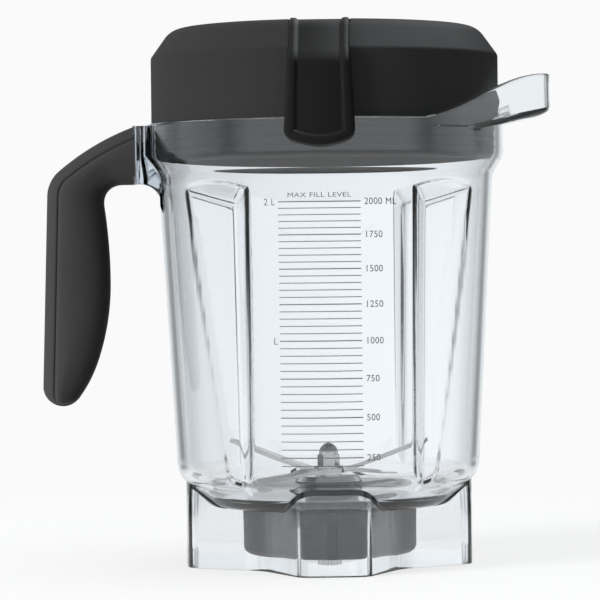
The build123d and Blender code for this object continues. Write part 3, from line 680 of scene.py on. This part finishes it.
def rim_rings(angles):
    """Outside of the rim and the spout, their top edge, and the spout's channel down to the rim's inside."""
    opening_run, root_low, root_rise, lip_turn = 10.0, 197.5, 0.8, 3.6
    channel_low, channel_step = 203.0, 1.4
    cosine = np.cos(np.radians(angles))

    def plan_arc(centre, radius, start, end, count):
        turn = np.radians(np.linspace(start, end, count))
        return np.stack([centre + radius * np.cos(turn), radius * np.sin(turn)], axis=1)

    nose_centre = spout_reach - spout_nose
    touch = math.degrees(math.acos((rim_radius - spout_nose) / nose_centre))
    nose = plan_arc(nose_centre, spout_nose, -touch, touch, 60)
    round_rim = plan_arc(0, rim_radius, touch, 360 - touch, 500)
    plan = refine(np.vstack([nose, round_rim, nose[:1]]), 0.5)[:-1]
    plan_reach = reach_by_angle(plan, angles)
    channel_reach = reach_by_angle(plan + inward_normals(plan) * spout_wall, angles)

    def underside(x):
        return spout_lip_height - (spout_reach - x) * math.tan(math.radians(spout_slope))

    def channel_floor(x):
        return np.maximum(underside(x) + spout_floor, channel_low)

    # the rim's edge rises to the spout's tip
    share = np.linspace(0, 1, 60)
    edge_x = cubic(spout_start, spout_start + spout_rise_run, spout_reach - spout_tip_run, spout_reach, share)
    edge_height = cubic(rim_height, rim_height + spout_rise_lift, spout_top, spout_top, share)
    towards_tip = np.clip(plan_reach * cosine, spout_start, spout_reach)
    top = np.interp(towards_tip, edge_x, edge_height)
    opened = ease((towards_tip - spout_start) / opening_run)
    root = np.maximum(underside(rim_radius * cosine), root_low)
    lip = np.maximum(underside(plan_reach * cosine), root + root_rise)
    rings = [(rim_radius, (root + rim_low) / 2), (rim_radius, root)]
    # the underside runs out and turns up: share outwards, share of the rise to the lip, height above the lip
    for outwards, rise, above in ((0.3, 0.3, 0), (0.6, 0.6, 0), (0.8, 0.86, 0), (0.91, 1, 0.5),
                                  (0.975, 1, 1.7), (1, 1, lip_turn)):
        rings.append((rim_radius + (plan_reach - rim_radius) * outwards, root + (lip - root) * rise + above))
    for share in (0.3, 0.6, 0.9):
        rings.append((plan_reach, lip + lip_turn + (top - lip - lip_turn) * share))
    # the top edge, rounded on both sides
    inside = plan_reach - (rim_wall + (plan_reach - channel_reach - rim_wall) * opened)
    rings += [(plan_reach - inwards, top - drop) for inwards, drop in ((0, 0.7), (0.2, 0.2), (0.65, 0))]
    rings += [(inside + outwards, top - drop) for outwards, drop in ((0.65, 0), (0.15, 0.25), (0, 0.7))]
    # the channel, which falls to the rim's inside
    channel = np.minimum(channel_floor(inside * cosine), top - 1.2)
    step = np.minimum(inside, rim_radius - channel_step)
    settle = np.minimum(channel_floor(step * cosine), channel)
    seat = np.minimum(settle - 0.3, rim_height - 0.2)
    rings += [(inside, (top + channel) / 2), (inside, channel + 0.8),
              (inside - (inside - step) * 0.1 - 0.05 * opened, channel), (step, settle),
              (np.minimum(step, rim_inner + channel_step * opened), seat), (rim_inner, seat - 0.5)]
    return rings


def inside_rings(angles):
    """Inside of the rim, the wall with its flutes, and the floor up to the housing hole."""
    turn_angle = math.atan2(shoulder_rise, rim_radius - body_top_radius)
    lift = wall * math.tan(math.radians(45) - turn_angle / 2)
    shoulder = rounded_path([(rim_inner, rim_low + 1), (rim_inner, shoulder_height + shoulder_rise + lift),
                             (body_top_radius - wall, shoulder_height + lift),
                             (wall_radius(wall_low) - wall, wall_low)],
                            [0, shoulder_round - wall / 2, shoulder_round + wall / 2, 0], steps=7)
    levels = np.concatenate([roof_levels[::-1] + 1.0, np.linspace(flute_top - 16, wall_start, 9)])
    # the bevel inside lies parallel to the one outside
    bevel_start, inner_bevel_top = bevel_top + 10, bevel_top + wall * (math.sqrt(2) - 1)
    inner_bevel_radius = wall_radius(inner_bevel_top) - wall
    floor = rounded_path([(wall_radius(bevel_start) - wall, bevel_start),
                          (inner_bevel_radius, inner_bevel_top),
                          (inner_bevel_radius - inner_bevel_top + floor_top, floor_top),
                          (housing_radius, floor_top)],
                         [0, foot_round - wall, bevel_round - wall, 0], steps=8)
    inside = list(shoulder[:-1]) + [(wall_radius(height) - wall, height) for height in levels]
    rings = [(fluted(reach, angles, height, wall), height) for reach, height in inside]
    flute_reach = 40
    for reach, height in refine(floor, 12.0):
        rings.append((fluted(reach, angles, height, wall) if reach > flute_reach else reach, height))
    return rings


# Outlines of the handle, seen from the front

def grip_curves():
    """Back and front of the grip, each from the arm down to the tip's lowest point."""
    back = -handle_reach
    knuckle = (back + knuckle_lean, arm_top - knuckle_drop)
    arm_middle = ((knuckle[0] - grip_start) / 2, (knuckle[1] + arm_top) / 2 + knuckle_bow)
    tip_back = (back, grip_end + grip_tip_height)
    tip_front = (back + grip_tip_width, grip_end + grip_tip_height / 2)
    lowest = (back + grip_tip_width * tip_low_share, grip_end)
    neck = (back + grip_neck, arm_bottom)
    fullest = (back + grip_fullness, grip_full_height)
    swell = (tip_front[0] + (fullest[0] - tip_front[0]) * swell_width_share,
             grip_end + (grip_full_height - grip_end) * swell_share)
    tip = arc_through(tip_back, lowest, tip_front, 40)
    turn = int(np.argmin(tip[:, 1]))
    arch = arc_through((-grip_start, arm_top), arm_middle, knuckle, 40)
    spine = refine(np.array([knuckle, tip_back]), 1.5)
    back_curve = np.vstack([soften_corner(arch, spine, knuckle_soft), tip[1:turn + 1]])
    belly, heading = arc_tangent(fullest, (0, -1), swell, 30)
    low_belly, _ = arc_tangent(swell, heading, tip_front, 24)
    throat, _ = arc_tangent(fullest, (0, 1), neck, 36)
    under = refine(np.array([(-grip_start, arm_bottom), neck]), 1.0)
    front_curve = np.vstack([soften_corner(under, throat[::-1], throat_soft), belly[1:], low_belly[1:],
                             tip[turn:-1][::-1]])
    return back_curve, front_curve


def make_arm():
    """Clear arm whose sides flare out to the rim."""
    root, middle, end = wall_radius(arm_bottom) - wall / 2, rim_radius - rim_wall / 2, -grip_start - 1
    # the corners towards the axis lie inside the wall, where they don't show
    outline = rounded_path([(-middle, arm_top), (end, arm_top), (end, arm_bottom), (-root, arm_bottom),
                            (-root, arm_bottom - arm_web - wall), (-root + 0.6, arm_bottom - arm_web),
                            (-root + 0.2, shoulder_height), (-middle, shoulder_height + shoulder_rise)],
                           [0, 0, 0, arm_web, 0, 0, 0, 0], closed=True, steps=10)
    layers = []
    flare_steps = [(depth, 0.0) for depth in np.linspace(arm_edge, arm_flare, 5)]
    for depth, inset in [(0.0, arm_edge), (0.5, 0.5)] + flare_steps:
        flare = arm_flare - depth
        start = -rim_radius + 0.6 - arm_reach * (1 - math.sqrt(max(0.0, flare / arm_flare)))
        layer = inset_outline(outline, inset)
        layer[:, 0] = np.maximum(layer[:, 0], start if flare > 0.01 else end)
        layers.append((layer, arm_half + flare))
    arm = make_layers("arm", layers, clear_plastic, "jar")
    weld(arm)
    return arm


def make_core():
    """Clear core inside the grip, carried a little way into the arm."""
    back, front = grip_curves()
    outline = np.vstack([along(back, np.linspace(0, 1, 90)), along(front, np.linspace(1, 0, 90))[1:]])
    core = inset_outline(outline, core_skin)
    core = core[core[:, 0] < -grip_start - core_skin]
    core_root, edge = -grip_start + 1.5, 0.4
    core = np.vstack([[(core_root, core[0, 1])], core, [(core_root, core[-1, 1])]])
    layers = [(inset_outline(core, inset), core_half - drop) for inset, drop in
              ((edge, 0), (edge * 0.3, edge * 0.3), (0, edge))]
    return make_layers("core", layers, clear_plastic, "jar")


def make_jar():
    """The clear moulding, with the arm and the core that carry the grip."""
    angles = spread_columns(jar_columns)
    c, s = np.cos(np.radians(angles)), np.sin(np.radians(angles))
    rings = skirt_rings(angles) + wall_rings(angles) + rim_rings(angles) + inside_rings(angles)
    points = np.concatenate([np.stack(np.broadcast_arrays(r * c, r * s, z), axis=1) for r, z in rings]) * mm
    faces = []
    for k in range(len(rings)):
        faces += band(k * jar_columns, (k + 1) % len(rings) * jar_columns, jar_columns)
    jar = make_piece("clear_jar", points, faces, clear_plastic, "jar", sharp=0)
    weld(jar)
    unite(jar, make_arm())
    unite(jar, make_core())
    jar.data.set_sharp_from_angle(angle=math.radians(40))
    return jar


clear_jar = make_jar()
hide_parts("jar")


# Grip, as sections from the arm to the tip

strip_steps = np.array([0, 0.25, 0.8, 1.6, 2.6, 3.6, 4.5, 5.0, 5.35, 5.6, 5.85, 6.2, 6.7, 7.5, 9.0])
finger_steps = np.concatenate([np.linspace(0, 0.72, 9)[1:], [0.8, 0.87, 0.93, 0.97, 1.0]])


def grip_section(back, front, back_way, front_way):
    """Closed ring across the grip between a point on its back and one on its front."""
    least_width, least_lean, edge_blend, tip_blend = 0.02, 0.3, 1.0, 0.6
    span = front - back
    width = max(np.linalg.norm(span), least_width)
    back_lean, front_lean = [abs(way[0] * span[1] - way[1] * span[0]) / (np.linalg.norm(way) * width + 1e-9)
                             for way in (back_way, front_way)]
    fit = min(1.0, width * back_lean / full_width)
    across = strip_steps * fit / max(back_lean, least_lean) / width
    across = np.concatenate([across, across[-1] + (1 - across[-1]) * finger_steps])
    from_back = across * width * back_lean
    from_front = (1 - across) * width * front_lean
    above_tip = np.maximum(back[1] + span[1] * across - grip_end, 0)
    depth = smooth_min(from_back * back_fall, from_front * finger_fall, edge_blend)
    depth = np.clip(smooth_min(depth, above_tip, tip_blend), 0, grip_round)
    half = grip_half - grip_round + np.sqrt(grip_round ** 2 - (grip_round - depth) ** 2)
    crease = np.exp(-((from_back - strip_width * fit) / crease_width) ** 2)
    half = half - crease_depth * crease * min(1, fit * 1.2)
    place = back + span * across[:, None]
    near_half = np.stack([place[:, 0], half, place[:, 1]], axis=1)
    return np.vstack([near_half, (near_half * np.array([1, -1, 1]))[::-1]])


def make_grip():
    """Soft grip with a crease that sets off the strip along its back."""
    back, front = grip_curves()
    stations = np.concatenate([np.linspace(0, 0.93, 130), 1 - np.linspace(0.26, 0, 22) ** 2])
    knuckle = share_at(back, (-handle_reach + knuckle_lean, arm_top - knuckle_drop))
    throat = share_at(front, (-handle_reach + grip_neck, arm_bottom))
    heel = share_at(back, (-handle_reach, grip_end + grip_tip_height))
    toe = share_at(front, (-handle_reach + grip_tip_width, grip_end + grip_tip_height / 2))
    bend_station, tip_station = 0.34, 0.9
    keys = [0, bend_station, tip_station, 1]
    backs = along(back, np.interp(stations, keys, [0, knuckle, heel, 1]))
    fronts = along(front, np.interp(stations, keys, [0, throat, toe, 1]))
    ways = np.gradient(backs, axis=0), np.gradient(fronts, axis=0)
    rings = [grip_section(*station) for station in zip(backs, fronts, *ways)]
    points = np.concatenate(rings) * mm
    grip = make_piece("grip", points, bridge(len(rings), len(rings[0])), grip_black, "jar", sharp=50)
    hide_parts("handle_grip")


make_grip()


# Lid flaps, draped over the lid's edge

slope_run, slope_rise = lid_radius - lid_crown_radius, crown_edge_height - lid_shoulder_height
slope_length = math.hypot(slope_run, slope_rise)


def slope_height(radius, lift):
    """Height on a line that lies lift above the lid's sloping edge."""
    return lid_shoulder_height + ((lid_radius - radius) * slope_rise + lift * slope_length) / slope_run


def slope_radius(height, lift):
    """Radius at which that line reaches a height."""
    return lid_radius - ((height - lid_shoulder_height) * slope_run - lift * slope_length) / slope_rise


def make_flap(name, body, turn):
    """Strap with a raised border and a sunk panel, ending in a rounded tongue."""
    lift = flap_gap + flap_strap
    crown_corner = (slope_radius(strap_top, lift), strap_top)
    bend_corner = (flap_outer, slope_height(flap_outer, lift))
    outer = rounded_path([(flap_hinge_radius, strap_top), crown_corner, bend_corner,
                          (flap_outer, flap_tip_height)],
                         [0, lid_crown_round, flap_bend_round, 0], steps=14)
    outer = refine(outer, 0.8)
    run = path_run(outer)
    way = np.gradient(outer, axis=0)
    normal = np.stack([-way[:, 1], way[:, 0]], axis=1) / np.linalg.norm(way, axis=1)[:, None]

    # the inner face, as the run along the outer one, the radius and the height
    strap_foot, band_side = strap_top - flap_strap, lid_radius + flap_gap
    rim_run = run[-1] - (rim_height - flap_tip_height)
    crown_run, bend_run = [share_at(outer, corner) * run[-1] for corner in (crown_corner, bend_corner)]
    inner = np.array([(0, flap_hinge_radius, strap_foot),
                      (crown_run, slope_radius(strap_foot, flap_gap), strap_foot),
                      (bend_run, band_side, slope_height(band_side, flap_gap)),
                      (rim_run - 0.8, band_side, rim_height + 0.8),
                      (rim_run - 0.4, flap_inner, rim_height + 0.4),
                      (run[-1], flap_inner, flap_tip_height)])

    # points across and along the strap, closer together at its edges; the tongue is shorter at its sides
    side = np.sin(np.linspace(-math.pi / 2, math.pi / 2, 61))
    side = np.sign(side) * (1 - (1 - np.abs(side)) ** 1.15)
    tongue_start, shoulder_start = 0.9, 0.75
    rows = np.concatenate([np.linspace(0, tongue_start, 90), np.linspace(tongue_start + 0.005, 1, 40)])
    arch = flap_corner_height - flap_tip_height
    shoulder = np.clip((np.abs(side) - shoulder_start) / (1 - shoulder_start), 0, 0.9995)
    length = run[-1] - (arch * side ** 2 + flap_corner_round * (1 - np.sqrt(1 - shoulder ** 2)))
    across, row = np.meshgrid(side, rows)
    here = row * length
    radius, height = [np.interp(here, run, outer[:, k]) for k in (0, 1)]
    normal_out, normal_up = [np.interp(here, run, normal[:, k]) for k in (0, 1)]
    down = np.clip((lid_shoulder_height - height) / (lid_shoulder_height - flap_corner_height), 0, 1)
    half = (flap_top_width + (flap_bottom_width - flap_top_width) * down) / 2
    x = across * half

    # rounded edge, bead on the border, and step down to the panel, by the distance from the edge
    corner_slope, steepest = np.where(np.abs(across) > 0.93, 3.0, 0.0), 2.0
    steep = np.minimum(np.hypot(1, 2 * arch * across / half + corner_slope), steepest)
    edge = np.minimum(half - np.abs(x), (length - here) / steep)
    border = border_top + border_gain * down
    past_round = np.maximum(flap_edge_round - edge, 0)
    sink = flap_edge_round - np.sqrt(np.maximum(flap_edge_round ** 2 - past_round ** 2, 0))
    sink += border_bead * np.minimum(((edge - border / 2) / (border / 2)) ** 2, 1.0)
    sink += panel_depth * ease((edge - border) / panel_step)
    radius, height = radius - normal_out * sink, height - normal_up * sink
    inner_radius, inner_height = [np.interp(here, inner[:, 0], inner[:, k]) for k in (1, 2)]
    inner_height = np.where(row > tongue_start, np.minimum(inner_height, height), inner_height)

    x, radius, height = [np.concatenate([front.ravel(), back.ravel()]) for front, back in
                         ((x, x), (radius, inner_radius), (height, inner_height))]
    y = -np.sqrt(radius ** 2 - x ** 2)
    c, s = math.cos(math.radians(turn)), math.sin(math.radians(turn))
    points = np.stack([x * c - y * s, x * s + y * c, height], axis=1) * mm
    grid = [list(range(k * len(side), (k + 1) * len(side))) for k in range(len(rows))]
    total = len(side) * len(rows)
    faces = []
    for upper, lower in zip(grid, grid[1:]):
        for a, b in zip(upper[:-1], lower[:-1]):
            faces += [(a, a + 1, b + 1, b), (total + a, total + b, total + b + 1, total + a + 1)]
    outline = grid[0] + [line[-1] for line in grid[1:]]
    outline += grid[-1][-2::-1] + [line[0] for line in grid[-2:0:-1]]
    faces += [(b, a, total + a, total + b) for a, b in zip(outline, outline[1:] + outline[:1])]
    flap = make_piece(name, points, faces, flap_black, body, sharp=55)
    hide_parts(body)


make_flap("front_strap", "front_flap", lid_turn)
make_flap("rear_strap", "rear_flap", lid_turn + 180)


# Volume scale printed on the front of the wall

def scale_height(litres):
    """Height of a level on the wall."""
    return scale_foot + scale_rise * litres - scale_slowing * litres ** 2


def print_place(x, height, raised):
    """Point on the wall at a distance along it from the scale's middle."""
    reach = wall_radius(height)
    angle = math.radians(scale_turn) + x / reach
    return ((reach + raised) * math.sin(angle) * mm, -(reach + raised) * math.cos(angle) * mm, height * mm)


def letter_mesh(text, size, stretch):
    """Points and faces of a word as a thin raised print, in millimetres."""
    curve = bpy.data.curves.new("word", "FONT")
    curve.body, curve.size, curve.extrude, curve.resolution_u = text, size, print_thickness / 2, 4
    curve.space_character = 1.06
    word = bpy.data.objects.new("word", curve)
    scene.collection.objects.link(word)
    bpy.context.view_layer.update()
    mesh = bpy.data.meshes.new_from_object(word.evaluated_get(bpy.context.evaluated_depsgraph_get()))
    points = np.array([v.co[:] for v in mesh.vertices]) * np.array([stretch, 1, 1])
    faces = [tuple(face.vertices) for face in mesh.polygons]
    bpy.data.objects.remove(word)
    bpy.data.curves.remove(curve)
    bpy.data.meshes.remove(mesh)
    return points, faces


def make_scale():
    """Lines every 50 mL, with figures at every 250 mL and a mark for the highest level."""
    points, faces = [], []

    def add_block(block, block_faces):
        start = len(points)
        points.extend(block)
        faces.extend(tuple(start + i for i in face) for face in block_faces)

    def add_line(height, half):
        columns = 24
        corners = [(up, line_lift + out) for up, out in
                   ((-half, 0), (half, 0), (half, print_thickness), (-half, print_thickness))]
        places = np.linspace(line_left, line_right, columns + 1)
        add_block([print_place(x, height + up, out) for x in places for up, out in corners],
                  bridge(columns + 1, len(corners)))

    def add_word(text, x, height, size, stretch, align):
        block, block_faces = letter_mesh(text, size, stretch)
        shift = x - block[:, 0].max() * {"left": 0, "centre": 0.5, "right": 1}[align]
        lift = height - (block[:, 1].max() + block[:, 1].min()) / 2
        add_block([print_place(shift + px, lift + py, word_lift + pz) for px, py, pz in block], block_faces)

    for k in range(round((scale_highest - scale_lowest) / scale_step) + 1):
        litres = scale_lowest + k * scale_step
        millilitres = round(litres * 1000)
        figure = millilitres % figure_every == 0
        add_line(scale_height(litres), figure_line_half if figure else line_half)
        if figure:
            label = f"{millilitres} ML" if millilitres == round(scale_highest * 1000) else f"{millilitres}"
            add_word(label, line_right + figure_gap, scale_height(litres), figure_size, figure_stretch, "left")
    for label, gap, litres in (("2 L", 1.4, 2.0), ("L", 1.0, 1.0)):
        add_word(label, line_left - gap, scale_height(litres), figure_size, figure_stretch, "right")
    add_word("MAX FILL LEVEL", (line_left + line_right) / 2, scale_height(scale_highest) + heading_size,
             heading_size, heading_stretch, "centre")
    make_piece("volume_scale", points, faces, scale_print, "jar", sharp=30)


make_scale()


# Solids that stay as they are

finishes = {
    "lid": lid_black, "lid_plug": plug_plastic, "retainer_nut": nut_grey,
    "housing_gasket": seal_black, "shaft_lip_seal": seal_black,
    "bearing_housing": housing_steel, "drive_shaft": housing_steel,
    "blade_spacer": housing_steel, "bearing_spacer": housing_steel,
    "blade": blade_steel, "blade_washer": blade_steel, "blade_nut": blade_steel}
for node, finish in finishes.items():
    dress(node, finish)
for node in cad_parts:
    if node.startswith(("upper_bearing", "lower_bearing", "bearing_retaining")):
        dress(node, bearing_steel)


# Floor, light and camera

def make_floor():
    """Pale studio floor that fades into the white surroundings and is clear from below."""
    size, fade_start, fade_end = 0.6, 0.16, 0.5
    glow_seen, glow_cast = 0.69, 0.12
    material, tree, output = new_material("studio_floor")
    shader = principled(tree, output, Base_Color=(0.3, 0.3, 0.3, 1), Roughness=0.9, Specular_IOR_Level=0.1,
                        Emission_Color=(1, 1, 1, 1))
    path = tree.nodes.new("ShaderNodeLightPath")
    glow = ramp(tree, path.outputs["Is Diffuse Ray"], 0.0, 1.0, glow_seen, glow_cast)
    tree.links.new(glow, shader.inputs["Emission Strength"])
    place = tree.nodes.new("ShaderNodeTexCoord")
    fade = ramp(tree, distance_from_origin(tree, place.outputs["Object"]), fade_start, fade_end, 0.0, 1.0)
    seen_from = tree.nodes.new("ShaderNodeNewGeometry")
    hidden = math_node(tree, "MAXIMUM", fade, seen_from.outputs["Backfacing"])
    clear = tree.nodes.new("ShaderNodeBsdfTransparent")
    blend = tree.nodes.new("ShaderNodeMixShader")
    for value, socket in zip((hidden, shader.outputs["BSDF"], clear.outputs["BSDF"]), blend.inputs):
        tree.links.new(value, socket)
    tree.links.new(blend.outputs["Shader"], output.inputs["Surface"])
    mesh = bpy.data.meshes.new("studio_floor")
    corners = [(-size, -size, 0), (size, -size, 0), (size, size, 0), (-size, size, 0)]
    mesh.from_pydata(corners, [], [(0, 1, 2, 3)])
    mesh.materials.append(material)
    floor = bpy.data.objects.new("studio_floor", mesh)
    scene.collection.objects.link(floor)


def make_world():
    """Plain white to the camera, with a studio of its own for light through the clear walls, for sharp
    reflections and for the rest. Azimuth is counted in radians from straight behind the jar, to the right."""
    world = bpy.data.worlds.new("studio")
    scene.world = world
    world.use_nodes = True
    tree = world.node_tree
    tree.nodes.clear()
    output = tree.nodes.new("ShaderNodeOutputWorld")
    plain, panels, mirrored, room = [tree.nodes.new("ShaderNodeBackground") for _ in range(4)]
    plain.inputs["Color"].default_value = (0.956, 0.956, 0.956, 1)
    cool_white = (0.95, 0.98, 1.0, 1)
    ground_start, ground_end = -0.4, -0.2
    place = tree.nodes.new("ShaderNodeTexCoord")
    split = tree.nodes.new("ShaderNodeSeparateXYZ")
    tree.links.new(place.outputs["Generated"], split.inputs[0])
    azimuth = math_node(tree, "ARCTAN2", split.outputs["X"], split.outputs["Y"])
    off_behind = math_node(tree, "ABSOLUTE", azimuth)
    rightwards = math_node(tree, "SINE", azimuth)

    def add(*parts):
        total = parts[0]
        for part in parts[1:]:
            total = math_node(tree, "ADD", total, part)
        return total

    def fill(background, around, above, below, rise):
        """Brightness around the jar, above it and below it, with the height range where above takes over."""
        ceiling = ramp(tree, split.outputs["Z"], *rise, 0.0, 1.0)
        ground = ramp(tree, split.outputs["Z"], ground_start, ground_end, 1.0, 0.0)
        level = math_node(tree, "SUBTRACT", 1.0, add(ceiling, ground))
        parts = [math_node(tree, "MULTIPLY", share, brightness) for share, brightness in
                 ((level, around), (ceiling, above), (ground, below))]
        tree.links.new(add(*parts), background.inputs["Strength"])
        background.inputs["Color"].default_value = cool_white

    # through the clear walls: a backdrop a little brighter on the right, dark gaps beside it, and side wings
    off_backdrop = math_node(tree, "ABSOLUTE", math_node(tree, "SUBTRACT", azimuth, 0.05))
    backdrop = math_node(tree, "MULTIPLY", ramp(tree, off_backdrop, 0.22, 0.42, 1.0, 0.12),
                         ramp(tree, azimuth, -0.1, 0.1, 0.86, 1.06))
    wings = ramp(tree, off_backdrop, 0.6, 0.9, 0.0, 0.75)
    fill(panels, add(backdrop, wings), above=0.22, below=0.55, rise=(0.2, 0.34))

    # in sharp reflections: tall panels at both sides, in front and behind
    sides = ramp(tree, math_node(tree, "ABSOLUTE", rightwards), 0.9, 0.99, 0.16, 0.9)
    front = ramp(tree, off_behind, 1.9, 2.3, 0.0, 1.2)
    behind = ramp(tree, off_behind, 0.6, 1.0, 0.8, 0.0)
    fill(mirrored, add(sides, front, behind), above=0.7, below=0.6, rise=(0.35, 0.7))

    # on everything else: a dim room, brighter around on the left and above on the right
    around = ramp(tree, rightwards, -0.6, 0.4, 0.26, 0.06)
    overhead = ramp(tree, rightwards, -0.2, 0.7, 0.36, 1.7)
    fill(room, around, above=overhead, below=0.06, rise=(0.35, 0.7))

    path = tree.nodes.new("ShaderNodeLightPath")
    picked = room
    for kind, background in (("Is Singular Ray", mirrored), ("Is Transmission Ray", panels),
                             ("Is Camera Ray", plain)):
        pick = tree.nodes.new("ShaderNodeMixShader")
        for value, socket in zip((path.outputs[kind], picked.outputs[0], background.outputs[0]), pick.inputs):
            tree.links.new(value, socket)
        picked = pick
    tree.links.new(picked.outputs[0], output.inputs["Surface"])


def add_softbox(name, place, target, width, height, power):
    """Rectangular lamp turned to a target, which reflections and the clear walls don't show."""
    light = bpy.data.lights.new(name, "AREA")
    light.shape = "RECTANGLE"
    light.size, light.size_y, light.energy = width, height, power
    lamp = bpy.data.objects.new(name, light)
    lamp.location = place
    lamp.visible_glossy = False
    lamp.visible_transmission = False
    lamp.rotation_euler = (Vector(target) - Vector(place)).to_track_quat("-Z", "Y").to_euler()
    scene.collection.objects.link(lamp)


def make_camera():
    """Camera at the photograph's viewing angle: a little left of the front, with a slight roll."""
    distance, height, turn, roll = 1.457, 0.1509, 2.0, 0.65
    sensor, frame_pixels, focal_pixels = 36.0, 600, 3100
    shift_right, shift_up = -26.1, -58.5
    data = bpy.data.cameras.new("camera")
    data.sensor_width = sensor
    data.lens = sensor * focal_pixels / frame_pixels
    data.shift_x, data.shift_y = shift_right / frame_pixels, shift_up / frame_pixels
    data.clip_start, data.clip_end = 0.05, 50.0
    camera = bpy.data.objects.new("camera", data)
    angle = math.radians(turn)
    place = Matrix.Translation((-math.sin(angle) * distance, -math.cos(angle) * distance, height))
    upright = Matrix.Rotation(-angle, 4, "Z") @ Matrix.Rotation(math.radians(90), 4, "X")
    camera.matrix_world = place @ (upright @ Matrix.Rotation(math.radians(-roll), 4, "Z"))
    scene.collection.objects.link(camera)
    scene.camera = camera


make_floor()
make_world()
add_softbox("key_left", place=(-1.9, -1.1, 0.34), target=(0, 0, 0.15), width=0.8, height=1.2, power=100)
make_camera()
scene.view_settings.view_transform = "Standard"
scene.cycles.use_denoising = True
